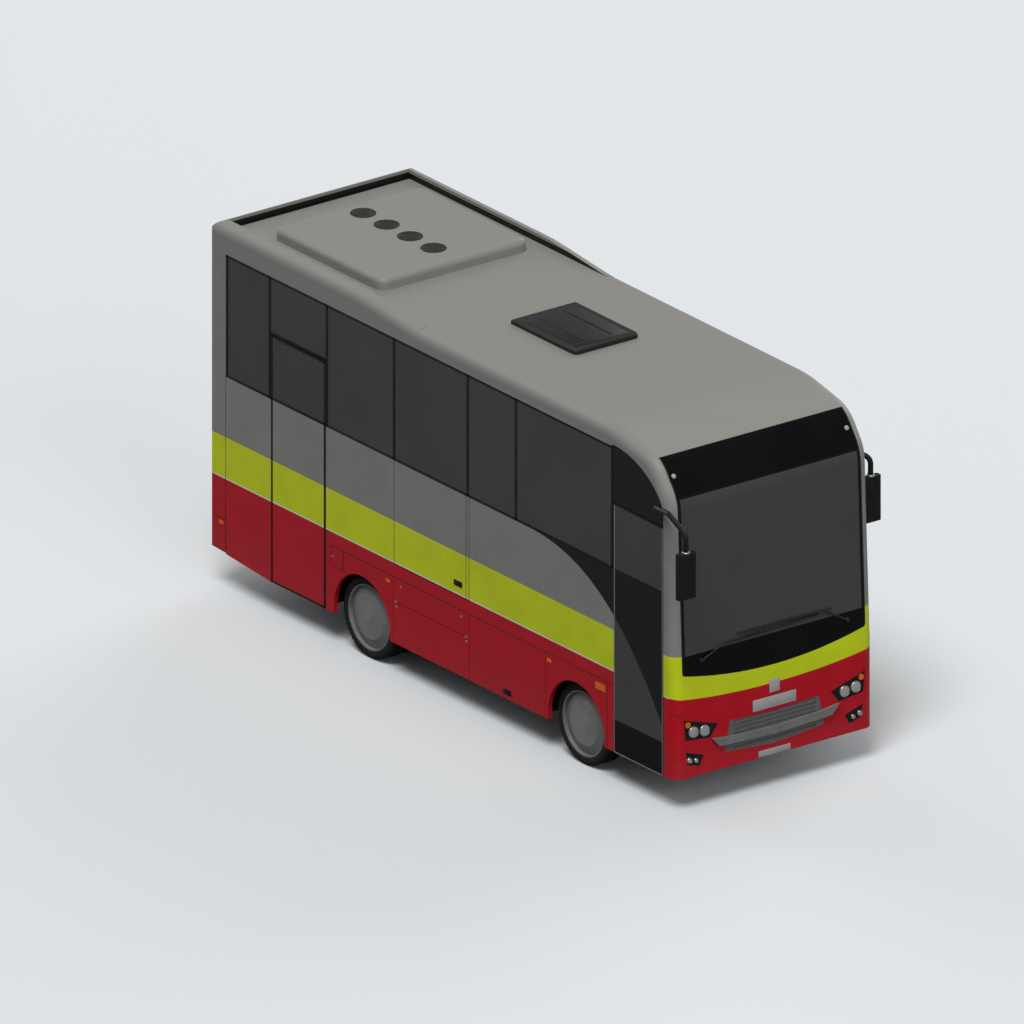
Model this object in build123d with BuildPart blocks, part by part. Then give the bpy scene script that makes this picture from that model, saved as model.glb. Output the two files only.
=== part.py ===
"""A midi passenger bus with two kerb-side doors, built from its panels, running gear and fittings.

Sizes are in millimetres. X runs forward, Y to the left side and Z up from the ground, with the origin on the
ground under the middle of the whole vehicle, mirrors included.
"""

import os
from math import atan2, cos, degrees, radians, sin

from build123d import *

os.makedirs("parts", exist_ok=True)

# Whole body
BODY_LENGTH = 6930
BODY_WIDTH = 2244
ROOF_HEIGHT = 3455
SKIRT_HEIGHT = 320
WALL = 45
EDGE_RADIUS = 105
REAR_TOP_RADIUS = 140
MIRROR_REACH = 345
CORNER_BEVEL = 25
TAIL_RISE = 70
TAIL_END = 900

# Running gear
WHEELBASE = 3200
REAR_OVERHANG = 2263
TYRE_RADIUS = 390
TYRE_WIDTH = 225
RIM_RADIUS = 310
TYRE_INSET = 73
TWIN_SPACING = 262
KINGPIN_INSET = 292
ARCH_RADIUS = 420
HOUSING_RADIUS = 475
HOUSING_WIDTH = 537
STEEL_SHEET = 8
RAIL_OFFSET = 395
RAIL_WIDTH = 70
RAIL_DEPTH = 200
RAIL_HEIGHT = 560

# Saloon
FLOOR_HEIGHT = 1100
FLOOR_THICKNESS = 60
BOOT_HEIGHT = 760
BOOT_LENGTH = 850
BOOT_TOP = 1420
WALL_FOOT = 965
STEP_WIDTH = 250
STEP_COUNT = 3
FIRST_STEP = 360

# Glass and its openings
GLASS = 6
WINDOW_SILL = 2100
WINDOW_TOP = ROOF_HEIGHT - 195
WINDOW_BORDER = 45
WINDOW_POSTS = (240, 900, 1730, 2745, 3845, 4565, 6000)
SCREEN_HALF_WIDTH = 1020
SCREEN_SILL = 1490
SCREEN_TOP = ROOF_HEIGHT - 455
SCREEN_LAP = 40

# Leaves and lids, all hung on pins that lie in the gap along their edge
PIN_RADIUS = 3
PIN_CLEARANCE = 0.3
REAR_DOOR = (910, 1720)
REAR_DOOR_TOP = ROOF_HEIGHT - 745
FRONT_DOOR_REAR = 6030
FRONT_DOOR_TOP = ROOF_HEIGHT - 725
LOCKER_POSTS = (2735, 3865, 5010)
LOCKER_SHEET = 12
FLAP_SETBACK = 85
FLAP_WIDTH = 175
FLAP_FOOT = 775
BOOT_LID_WIDTH = 1600
BOOT_LID_FOOT = 800
BOOT_LID_TOP = 1360

# Roof fittings
COAMING_RISE = 85
COAMING_END = 2200
COAMING_FADE = 3100
COAMING_WIDTH = 115
COAMING_STOP = 20
COOLER_SPAN = (545, 2170)
COOLER_WIDTH = 1670
COOLER_RISE = 120
COOLER_CORNER = 100
COOLER_EDGE = 60
FAN_RADIUS = 105
FAN_COUNT = 4
FAN_PITCH = 350
HATCH_SPAN = (3480, 4440)
HATCH_WIDTH = 725
HATCH_THICKNESS = 45
HATCH_GAP = 5

# Front end
CORNER_SPAN = 165
SCREEN_FOOT = 1150
SCREEN_LEAN = 80
BROW_HEIGHT = ROOF_HEIGHT - 465
BROW_SETBACK = 330
BROW_TOP = ROOF_HEIGHT - 125
BROW_LENGTH = 930
ROOF_SEAM = ROOF_HEIGHT - 165
PILLAR_TOP = ROOF_HEIGHT - 605
LONG_BEND = 1500
BROW_BEND = 400

# Worked out from the sizes above
RIGHT, LEFT = -1, 1
REAR_X = -(BODY_LENGTH + MIRROR_REACH) / 2
FRONT_X = REAR_X + BODY_LENGTH
HALF_WIDTH = BODY_WIDTH / 2
INNER_HALF = HALF_WIDTH - WALL
REAR_AXLE_X = REAR_X + REAR_OVERHANG
FRONT_AXLE_X = REAR_AXLE_X + WHEELBASE
WHEEL_MIDDLE = HALF_WIDTH - TYRE_INSET - TYRE_WIDTH / 2
KINGPIN_Y = HALF_WIDTH - KINGPIN_INSET
HINGE_GAP = 2 * (PIN_RADIUS + PIN_CLEARANCE)
CORNER_X = FRONT_X - CORNER_SPAN
FRONT_DOOR = (FRONT_DOOR_REAR, BODY_LENGTH - CORNER_SPAN - HINGE_GAP)
REAR_CORNER_X = REAR_X + WINDOW_POSTS[0] - 5
FLAP_SPAN = (REAR_DOOR[1] + FLAP_SETBACK, REAR_DOOR[1] + FLAP_SETBACK + FLAP_WIDTH)
RAIL_TOP = RAIL_HEIGHT + RAIL_DEPTH
FAR = 400


def at(distance):
    """The X of a point measured forward from the rear panel."""
    return REAR_X + distance


def skin_plane(side, depth=0):
    """The outer skin of one side, or a plane some depth behind it, with X and Z as its sketch axes."""
    return Plane.XZ.offset(-side * (HALF_WIDTH - depth))


def rectangle_between(x, z, mode=Mode.ADD):
    """A rectangle in the open sketch between two limits along each of its axes."""
    with Locations(((x[0] + x[1]) / 2, (z[0] + z[1]) / 2)):
        Rectangle(x[1] - x[0], z[1] - z[0], mode=mode)


def outline(points):
    """A straight-sided face in the open sketch, at its own coordinates."""
    Polygon(*points, align=None)


def block(x, y, z):
    """A box between limits along X, Y and Z, on which others are cut."""
    with BuildPart() as box:
        with BuildSketch(Plane.XY.offset(z[0])):
            rectangle_between(x, y)
        extrude(amount=z[1] - z[0])
    return box.part


def side_prism(points, y):
    """A prism over a side-view outline, between two limits across the bus."""
    with BuildPart() as prism:
        with BuildSketch(Plane.XZ.offset(-y[1])):
            outline(points)
        extrude(amount=y[1] - y[0])
    return prism.part


def front_prism(points, x):
    """A prism over a front-view outline, between two limits along the bus."""
    with BuildPart() as prism:
        with BuildSketch(Plane.YZ.offset(x[0])):
            outline(points)
        extrude(amount=x[1] - x[0])
    return prism.part


def body_form(inset, rise=0):
    """The body's whole outer form, drawn in by inset, with the rear of the roof lifted by rise."""
    foot = SKIRT_HEIGHT if inset == 0 else SKIRT_HEIGHT - FAR
    rear, front = REAR_X + inset, FRONT_X - inset
    top = ROOF_HEIGHT - inset
    crown = [(rear, top)]
    bends = [REAR_TOP_RADIUS - inset]
    if rise:
        crown = [(rear, top + rise), (at(COAMING_END), top + rise), (at(COAMING_FADE), top)]
        bends = [REAR_TOP_RADIUS, 2500, 2500]
    brow = [
        (FRONT_X - BROW_LENGTH, top),
        (FRONT_X - BROW_SETBACK - inset * 0.45, BROW_TOP - inset * 0.9),
        (front - SCREEN_LEAN, BROW_HEIGHT),
        (front, SCREEN_FOOT),
    ]
    half = HALF_WIDTH - inset
    tail_x = (rear, REAR_X + 2 * REAR_TOP_RADIUS)
    with BuildSketch(Plane.XZ) as profile:
        with BuildLine():
            upper = FilletPolyline(
                (rear, foot),
                *crown,
                *brow,
                (front, foot),
                radius=[*bends, LONG_BEND, BROW_BEND, BROW_BEND, LONG_BEND],
            )
            Line(upper @ 1, upper @ 0)
        make_face()
    with BuildPart() as form:
        extrude(profile.sketch, amount=half, both=True)
        sides = form.faces().filter_by(Axis.Y).edges().filter_by(lambda edge: edge.center().Z > foot + 1)
        fillet(sides, radius=EDGE_RADIUS - inset)
        add(block((rear - FAR, tail_x[1]), (-half, half), (0, top + FAR)), mode=Mode.SUBTRACT)
    with BuildPart() as tail:
        extrude(profile.sketch, amount=half, both=True)
        with BuildSketch(Plane.XY.offset(foot)) as plan:
            rectangle_between(tail_x, (-half, half))
            if CORNER_BEVEL > inset:
                chamfer(plan.vertices().group_by(Axis.X)[0], length=CORNER_BEVEL - inset)
        extrude(amount=top + FAR, mode=Mode.INTERSECT)
        with BuildSketch(Plane.YZ.offset(rear)) as end_view:
            rectangle_between((-half, half), (foot, top + rise))
            fillet(end_view.vertices().group_by(Axis.Z)[-1], radius=EDGE_RADIUS - inset)
        extrude(amount=tail_x[1] - rear, mode=Mode.INTERSECT)
    with BuildPart() as whole:
        add(form.part)
        add(tail.part)
    return whole.part


# The body's skin, and the thin outer layer of it that the windscreen is made of
OUTER_FORM = body_form(0)
INNER_FORM = body_form(WALL)
with BuildPart() as skin:
    add(OUTER_FORM)
    add(INNER_FORM, mode=Mode.SUBTRACT)
with BuildPart() as glass_layer:
    add(OUTER_FORM)
    add(body_form(GLASS), mode=Mode.SUBTRACT)

BROW_STEPS = 10
BROW_FULLNESS = 1.25


def brow_curve(start, end):
    """A side-view curve that leaves its start level and falls upright into its end, like the brow."""
    turns = [radians(90 * step / BROW_STEPS) for step in range(BROW_STEPS)]
    curve = [
        (start[0] + (end[0] - start[0]) * sin(turn), end[1] + (start[1] - end[1]) * cos(turn) ** BROW_FULLNESS)
        for turn in turns
    ]
    return [*curve, end]


BROW_LINE = brow_curve((at(WINDOW_POSTS[-1]), ROOF_SEAM), (CORNER_X, PILLAR_TOP))
HEADER_X = FRONT_X - BROW_SETBACK - 30
ACROSS = (-HALF_WIDTH - FAR, HALF_WIDTH + FAR)
AHEAD = (HEADER_X, FRONT_X + FAR)


def screen_band(half_width, z):
    """The front-view band that a piece of the windscreen's surround covers."""
    return front_prism(
        [(-half_width, z[0]), (half_width, z[0]), (half_width, z[1]), (-half_width, z[1])], AHEAD
    )


HATCH_X = (at(HATCH_SPAN[0]), at(HATCH_SPAN[1]))
HATCH_OPENING_LAP = 50

with BuildPart() as windscreen:
    add(glass_layer.part)
    add(screen_band(SCREEN_HALF_WIDTH, (SCREEN_SILL, SCREEN_TOP)), mode=Mode.INTERSECT)
windscreen.part.label = "windscreen"
export_step(windscreen.part, "parts/windscreen.step")

with BuildPart() as front_header:
    add(skin.part)
    add(screen_band(SCREEN_HALF_WIDTH, (SCREEN_TOP - SCREEN_LAP, ROOF_HEIGHT + FAR)), mode=Mode.INTERSECT)
    add(windscreen.part, mode=Mode.SUBTRACT)

roof_region = side_prism(
    [
        (REAR_X - FAR, ROOF_SEAM),
        *BROW_LINE,
        (FRONT_X + FAR, PILLAR_TOP),
        (FRONT_X + FAR, ROOF_HEIGHT + FAR),
        (REAR_X - FAR, ROOF_HEIGHT + FAR),
    ],
    ACROSS,
)
with BuildPart() as roof:
    add(skin.part)
    add(roof_region, mode=Mode.INTERSECT)
    add(screen_band(SCREEN_HALF_WIDTH, (PILLAR_TOP - 1, ROOF_HEIGHT + FAR)), mode=Mode.SUBTRACT)
    with BuildSketch(Plane.XY.offset(ROOF_HEIGHT)):
        rectangle_between(
            (HATCH_X[0] + HATCH_OPENING_LAP, HATCH_X[1] - HATCH_OPENING_LAP),
            (-HATCH_WIDTH / 2 + HATCH_OPENING_LAP, HATCH_WIDTH / 2 - HATCH_OPENING_LAP),
        )
    extrude(amount=-WALL, mode=Mode.SUBTRACT)
roof.part.label = "roof"
export_step(roof.part, "parts/roof.step")

with BuildPart() as front_pillars:
    add(skin.part)
    add(
        block((CORNER_X, FRONT_X + 1), ACROSS, (SCREEN_FOOT + 160, PILLAR_TOP)),
        mode=Mode.INTERSECT,
    )
    add(
        screen_band(SCREEN_HALF_WIDTH - SCREEN_LAP, (0, ROOF_HEIGHT)),
        mode=Mode.SUBTRACT,
    )
    add(windscreen.part, mode=Mode.SUBTRACT)
    add(screen_band(SCREEN_HALF_WIDTH, (0, SCREEN_SILL)), mode=Mode.SUBTRACT)
front_pillars.part.label = "front_pillars"
export_step(front_pillars.part, "parts/front_pillars.step")

# The cowl's lower edge is a shallow smile across the front
SMILE_ENDS = SCREEN_FOOT + 160
SMILE_DIP = 120
with BuildPart() as cowl_region:
    with BuildSketch(Plane.YZ.offset(AHEAD[0])):
        with BuildLine():
            smile = ThreePointArc(
                (-SCREEN_HALF_WIDTH, SMILE_ENDS), (0, SMILE_ENDS - SMILE_DIP), (SCREEN_HALF_WIDTH, SMILE_ENDS)
            )
            Polyline(
                smile @ 1,
                (SCREEN_HALF_WIDTH, SCREEN_SILL + SCREEN_LAP),
                (-SCREEN_HALF_WIDTH, SCREEN_SILL + SCREEN_LAP),
                smile @ 0,
            )
        make_face()
    extrude(amount=AHEAD[1] - AHEAD[0])
with BuildPart() as front_cowl:
    add(skin.part)
    add(cowl_region.part, mode=Mode.INTERSECT)
    add(windscreen.part, mode=Mode.SUBTRACT)
    add(screen_band(HALF_WIDTH, (SCREEN_SILL, SCREEN_SILL + SCREEN_LAP)), mode=Mode.SUBTRACT)
with BuildPart() as screen_panels:
    add(front_header.part)
    add(front_cowl.part)
screen_panels.part.label = "screen_panels"
export_step(screen_panels.part, "parts/screen_panels.step")

# Lamp clusters and grille, as front-view outlines of the right half
HEADLAMP_OUTLINE = [(1017, 885), (632, 770), (722, 655), (997, 685)]
FOG_OUTLINE = [(992, 570), (790, 505), (842, 410), (977, 450)]
GRILLE_HALF = [(497, 765), (557, 475)]
GRILLE_DIP = 45
BAR_TOP = [(712, 645), (520, 620), (0, 600)]
BAR_FOOT = [(0, 530), (520, 548), (632, 558)]
BAR_DEPTH = 28
BUMPER_LINE = [(HALF_WIDTH + FAR, 1010), (1017, 885), (722, 655), (0, 600)]


def mirrored(points):
    """The points of the other half, in the opposite order."""
    return [(-y, z) for y, z in reversed(points)]


def on_side(points, side):
    """An outline of the right half placed on one side of the front."""
    return [(side * y, z) for y, z in points]


lamp_regions = [
    front_prism(on_side(points, side), (CORNER_X, FRONT_X + FAR))
    for side in (RIGHT, LEFT)
    for points in (HEADLAMP_OUTLINE, FOG_OUTLINE)
]
grille_face = [GRILLE_HALF[0], GRILLE_HALF[1], (0, GRILLE_HALF[1][1] - GRILLE_DIP)]
grille_face += [(-y, z) for y, z in reversed(GRILLE_HALF)] + [(0, GRILLE_HALF[0][1] - GRILLE_DIP / 2)]
grille_region = front_prism(grille_face, (CORNER_X, FRONT_X + FAR))
front_zone = block((CORNER_X, FRONT_X + 1), ACROSS, (0, SMILE_ENDS))
bumper_zone = front_prism(
    [*BUMPER_LINE, *mirrored(BUMPER_LINE[:-1]), (-HALF_WIDTH - FAR, 0), (HALF_WIDTH + FAR, 0)],
    (CORNER_X, FRONT_X + FAR),
)

with BuildPart() as front_panel:
    add(skin.part)
    add(front_zone, mode=Mode.INTERSECT)
    add(bumper_zone, mode=Mode.SUBTRACT)
    add(cowl_region.part, mode=Mode.SUBTRACT)
    for region in lamp_regions:
        add(region, mode=Mode.SUBTRACT)
    add(grille_region, mode=Mode.SUBTRACT)
front_panel.part.label = "front_panel"
export_step(front_panel.part, "parts/front_panel.step")

BUMPER_SEAM = 705
with BuildPart() as bumper_places:
    add(front_zone)
    add(bumper_zone, mode=Mode.INTERSECT)
    add(block((REAR_X - 1, REAR_CORNER_X), ACROSS, (0, BUMPER_SEAM)))
# The body's foot rises towards the tail so that it clears a ramp
tail_slope = side_prism(
    [
        (REAR_X - FAR, 0),
        (REAR_X - FAR, SKIRT_HEIGHT + TAIL_RISE * (1 + FAR / TAIL_END)),
        (at(TAIL_END), SKIRT_HEIGHT),
        (at(TAIL_END), 0),
    ],
    ACROSS,
)
with BuildPart() as bumpers:
    add(skin.part)
    add(bumper_places.part, mode=Mode.INTERSECT)
    add(tail_slope, mode=Mode.SUBTRACT)
    for region in lamp_regions:
        add(region, mode=Mode.SUBTRACT)
    add(grille_region, mode=Mode.SUBTRACT)
bumpers.part.label = "bumpers"
export_step(bumpers.part, "parts/bumpers.step")

# Lamps: a black housing fills each opening, with a pocket for every lamp
HEADLAMPS = [(910, 752, 50), (785, 738, 50)]
FOG_LAMPS = [(955, 487, 22), (880, 470, 18)]
INDICATOR = (972, 832, 28)
LAMP_POCKET = 20
LAMP_CLEARANCE = 0.3
ROUND_LAMPS = [*HEADLAMPS, *FOG_LAMPS]

with BuildPart() as lamp_zone:
    for region in lamp_regions:
        add(region)
with BuildPart() as lamp_housings:
    add(skin.part)
    add(lamp_zone.part, mode=Mode.INTERSECT)
    for side in (RIGHT, LEFT):
        for y, z, radius in (*ROUND_LAMPS, INDICATOR):
            with BuildSketch(Plane.YZ.offset(FRONT_X)):
                with Locations((side * y, z)):
                    Circle(radius)
            extrude(amount=-LAMP_POCKET, mode=Mode.SUBTRACT)
lamp_housings.part.label = "lamp_housings"
export_step(lamp_housings.part, "parts/lamp_housings.step")

LAMP_BULGE = 8
with BuildPart() as headlamps:
    for side in (RIGHT, LEFT):
        for y, z, radius in ROUND_LAMPS:
            with BuildSketch(Plane.YZ.offset(FRONT_X - LAMP_POCKET)):
                with Locations((side * y, z)):
                    Circle(radius - LAMP_CLEARANCE)
            extrude(amount=LAMP_POCKET + LAMP_BULGE)
headlamps.part.label = "headlamps"
export_step(headlamps.part, "parts/headlamps.step")

with BuildPart() as grille:
    add(skin.part)
    add(grille_region, mode=Mode.INTERSECT)
    SLAT_PITCH = 42
    SLAT_COUNT = 7
    SLAT_GROOVE = 8
    for row in range(SLAT_COUNT):
        height = GRILLE_HALF[1][1] + 22 + row * SLAT_PITCH
        width = 2 * GRILLE_HALF[0][0] - 70
        with BuildSketch(Plane.YZ.offset(FRONT_X)):
            with Locations((0, height)):
                Rectangle(width, SLAT_PITCH - 18)
        extrude(amount=-SLAT_GROOVE, mode=Mode.SUBTRACT)
grille.part.label = "grille"
export_step(grille.part, "parts/grille.step")

with BuildPart() as grille_bar:
    with BuildSketch(Plane.YZ.offset(FRONT_X)):
        outline([*BAR_TOP, *mirrored(BAR_TOP[:-1]), *mirrored(BAR_FOOT[1:]), *BAR_FOOT])
    extrude(amount=BAR_DEPTH)
grille_bar.part.label = "grille_bar"
export_step(grille_bar.part, "parts/grille_bar.step")

# Rear end
REAR_WINDOW_HALF = 850
REAR_WINDOW = (2150, ROOF_HEIGHT - 405)
rear_zone = block((REAR_X - 1, REAR_CORNER_X), ACROSS, (BUMPER_SEAM, ROOF_SEAM))
with BuildPart() as rear_wall:
    add(skin.part)
    add(rear_zone, mode=Mode.INTERSECT)
    with BuildSketch(Plane.YZ.offset(REAR_X)):
        rectangle_between((-REAR_WINDOW_HALF, REAR_WINDOW_HALF), REAR_WINDOW)
    extrude(amount=GLASS, mode=Mode.SUBTRACT)
    with BuildSketch(Plane.YZ.offset(REAR_X)):
        rectangle_between(
            (-REAR_WINDOW_HALF + WINDOW_BORDER, REAR_WINDOW_HALF - WINDOW_BORDER),
            (REAR_WINDOW[0] + WINDOW_BORDER, REAR_WINDOW[1] - WINDOW_BORDER),
        )
        rectangle_between(
            (-BOOT_LID_WIDTH / 2 - HINGE_GAP, BOOT_LID_WIDTH / 2 + HINGE_GAP),
            (BOOT_LID_FOOT - HINGE_GAP, BOOT_LID_TOP + HINGE_GAP),
        )
    extrude(amount=WALL, mode=Mode.SUBTRACT)
rear_wall.part.label = "rear_wall"
export_step(rear_wall.part, "parts/rear_wall.step")

with BuildPart() as boot_lid:
    with BuildSketch(Plane.YZ.offset(REAR_X)):
        rectangle_between((-BOOT_LID_WIDTH / 2, BOOT_LID_WIDTH / 2), (BOOT_LID_FOOT, BOOT_LID_TOP))
    extrude(amount=WALL)
boot_lid.part.label = "boot_lid"
export_step(boot_lid.part, "parts/boot_lid.step")

TAIL_LAMP_SIZE = (110, 420)
TAIL_LAMP_PLACE = (930, 1080)
TAIL_LAMP_DEPTH = 14
with BuildPart() as tail_lamps:
    for side in (RIGHT, LEFT):
        with BuildSketch(Plane.YZ.offset(REAR_X)):
            with Locations((side * TAIL_LAMP_PLACE[0], TAIL_LAMP_PLACE[1])):
                RectangleRounded(*TAIL_LAMP_SIZE, radius=30)
        extrude(amount=-TAIL_LAMP_DEPTH)
tail_lamps.part.label = "tail_lamps"
export_step(tail_lamps.part, "parts/tail_lamps.step")


def pane_spans(side):
    """The window panes of one side as X and Z limits, the rear door's own pane left to its leaf."""
    spans = []
    for start, end in zip(WINDOW_POSTS, WINDOW_POSTS[1:]):
        over_door = side == RIGHT and start < REAR_DOOR[0] < end
        sill = REAR_DOOR_TOP + HINGE_GAP + WINDOW_BORDER / 2 if over_door else WINDOW_SILL
        spans.append(((at(start), at(end)), (sill, WINDOW_TOP)))
    return spans


POST_GAP = 6
QUARTER_SILL = {RIGHT: FRONT_DOOR_TOP + WINDOW_BORDER, LEFT: WINDOW_SILL - 350}
QUARTER_SETBACK = 65


def quarter_outline(side, border):
    """The pane beside the driver, or above the front door, whose top falls with the brow."""
    sill = QUARTER_SILL[side] + border
    high = (at(WINDOW_POSTS[-1]) + POST_GAP + border, WINDOW_TOP - 5 - border)
    low = (CORNER_X - QUARTER_SETBACK - border, PILLAR_TOP)
    return [(high[0], sill), (low[0], sill), *reversed(brow_curve(high, low))]


def glaze(side, border):
    """All the panes' outlines of one side in the open sketch, drawn in by a border."""
    for x, z in pane_spans(side):
        gap = POST_GAP / 2 + border
        rectangle_between((x[0] + gap, x[1] - gap), (z[0] + border, z[1] - border))
    outline(quarter_outline(side, border))


def wall_outline(side):
    """The fixed wall of one side, from the rear corner to the front one."""
    foot = WALL_FOOT
    outline(
        [
            (REAR_CORNER_X, foot),
            (REAR_CORNER_X, ROOF_SEAM),
            *BROW_LINE,
            (CORNER_X, foot),
        ]
    )


def door_opening(span, top):
    """The opening for a door leaf, with the hinge gap all round it."""
    rectangle_between(
        (at(span[0]) - HINGE_GAP, at(span[1]) + HINGE_GAP), (0, top + HINGE_GAP), mode=Mode.SUBTRACT
    )


for side, name in ((RIGHT, "right"), (LEFT, "left")):
    with BuildPart() as side_wall:
        with BuildSketch(skin_plane(side)):
            wall_outline(side)
            if side == RIGHT:
                rectangle_between((REAR_CORNER_X, at(REAR_DOOR[0])), (SKIRT_HEIGHT, WALL_FOOT))
                door_opening(REAR_DOOR, REAR_DOOR_TOP)
                door_opening(FRONT_DOOR, FRONT_DOOR_TOP)
        extrude(amount=side * WALL)
        with BuildSketch(skin_plane(side)):
            glaze(side, 0)
        extrude(amount=side * GLASS, mode=Mode.SUBTRACT)
        with BuildSketch(skin_plane(side)):
            glaze(side, WINDOW_BORDER)
        extrude(amount=side * WALL, mode=Mode.SUBTRACT)
        add(tail_slope, mode=Mode.SUBTRACT)
    side_wall.part.label = f"{name}_wall"
    export_step(side_wall.part, f"parts/{name}_wall.step")

with BuildPart() as windows:
    for side in (RIGHT, LEFT):
        with BuildSketch(skin_plane(side)):
            glaze(side, 0)
        extrude(amount=side * GLASS)
    with BuildSketch(Plane.YZ.offset(REAR_X)):
        rectangle_between((-REAR_WINDOW_HALF, REAR_WINDOW_HALF), REAR_WINDOW)
    extrude(amount=GLASS)
windows.part.label = "windows"
export_step(windows.part, "parts/windows.step")

with BuildPart() as skirts:
    for side in (RIGHT, LEFT):
        with BuildSketch(skin_plane(side)):
            rear_end = at(REAR_DOOR[1]) + HINGE_GAP if side == RIGHT else REAR_CORNER_X
            front_end = at(FRONT_DOOR[0]) - HINGE_GAP if side == RIGHT else CORNER_X
            rectangle_between((rear_end, at(LOCKER_POSTS[0]) - HINGE_GAP / 2), (SKIRT_HEIGHT, WALL_FOOT))
            rectangle_between((at(LOCKER_POSTS[2]) + HINGE_GAP / 2, front_end), (SKIRT_HEIGHT, WALL_FOOT))
            with Locations((REAR_AXLE_X, TYRE_RADIUS), (FRONT_AXLE_X, TYRE_RADIUS)):
                Circle(ARCH_RADIUS, mode=Mode.SUBTRACT)
            for axle_x in (REAR_AXLE_X, FRONT_AXLE_X):
                rectangle_between(
                    (axle_x - ARCH_RADIUS, axle_x + ARCH_RADIUS), (0, TYRE_RADIUS), mode=Mode.SUBTRACT
                )
            if side == RIGHT:
                rectangle_between(
                    (at(FLAP_SPAN[0]) - HINGE_GAP, at(FLAP_SPAN[1]) + HINGE_GAP),
                    (FLAP_FOOT - HINGE_GAP, WALL_FOOT),
                    mode=Mode.SUBTRACT,
                )
        extrude(amount=side * WALL)
    add(tail_slope, mode=Mode.SUBTRACT)
skirts.part.label = "skirts"
export_step(skirts.part, "parts/skirts.step")

for side, name in ((RIGHT, "right"), (LEFT, "left")):
    for place, start, end in (("rear", *LOCKER_POSTS[:2]), ("front", *LOCKER_POSTS[1:])):
        with BuildPart() as locker_lid:
            with BuildSketch(skin_plane(side)):
                rectangle_between(
                    (at(start) + HINGE_GAP / 2, at(end) - HINGE_GAP / 2),
                    (SKIRT_HEIGHT, WALL_FOOT - HINGE_GAP),
                )
            extrude(amount=side * WALL)
        locker_lid.part.label = f"{name}_{place}_locker_lid"
        export_step(locker_lid.part, f"parts/{name}_{place}_locker_lid.step")

# Lockers behind those lids, and the boot behind its own, all open towards their lids
LOCKER_Y = (RAIL_OFFSET + RAIL_WIDTH / 2, INNER_HALF - HINGE_GAP)
LOCKER_Z = (SKIRT_HEIGHT + 25, WALL_FOOT - 8)
LOCKER_END = 20
LOCKER_X = (REAR_AXLE_X + HOUSING_RADIUS + LOCKER_END, FRONT_AXLE_X - HOUSING_RADIUS - LOCKER_END)
BOOT_HALF = BOOT_LID_WIDTH / 2 + 60
BOOT_X = (REAR_X + WALL + HINGE_GAP, at(BOOT_LENGTH) - FLOOR_THICKNESS)
divider = at(LOCKER_POSTS[1])
with BuildPart() as lockers:
    for side in (RIGHT, LEFT):
        with BuildSketch(Plane.XZ.offset(-side * LOCKER_Y[0])):
            rectangle_between(LOCKER_X, LOCKER_Z)
        extrude(amount=-side * (LOCKER_Y[1] - LOCKER_Y[0]))
        with BuildSketch(Plane.XZ.offset(-side * (LOCKER_Y[0] + LOCKER_SHEET))):
            inner_z = (LOCKER_Z[0] + LOCKER_SHEET, LOCKER_Z[1] - LOCKER_SHEET)
            rectangle_between((LOCKER_X[0] + LOCKER_SHEET, divider - LOCKER_SHEET / 2), inner_z)
            rectangle_between((divider + LOCKER_SHEET / 2, LOCKER_X[1] - LOCKER_SHEET), inner_z)
        extrude(amount=-side * (LOCKER_Y[1] - LOCKER_Y[0]), mode=Mode.SUBTRACT)
    with BuildSketch(Plane.YZ.offset(BOOT_X[0])):
        rectangle_between((-BOOT_HALF, BOOT_HALF), (BOOT_HEIGHT, BOOT_TOP - FLOOR_THICKNESS))
    extrude(amount=BOOT_X[1] - BOOT_X[0])
    with BuildSketch(Plane.YZ.offset(BOOT_X[0])):
        rectangle_between(
            (LOCKER_SHEET - BOOT_HALF, BOOT_HALF - LOCKER_SHEET), (BOOT_HEIGHT + LOCKER_SHEET, BOOT_TOP)
        )
    extrude(amount=BOOT_X[1] - BOOT_X[0] - LOCKER_SHEET, mode=Mode.SUBTRACT)
lockers.part.label = "lockers"
export_step(lockers.part, "parts/lockers.step")

# Fuel flap in the right skirt behind the rear door
with BuildPart() as fuel_flap:
    with BuildSketch(skin_plane(RIGHT)):
        rectangle_between((at(FLAP_SPAN[0]), at(FLAP_SPAN[1])), (FLAP_FOOT, WALL_FOOT - HINGE_GAP))
    extrude(amount=RIGHT * WALL)
fuel_flap.part.label = "fuel_flap"
export_step(fuel_flap.part, "parts/fuel_flap.step")

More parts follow.
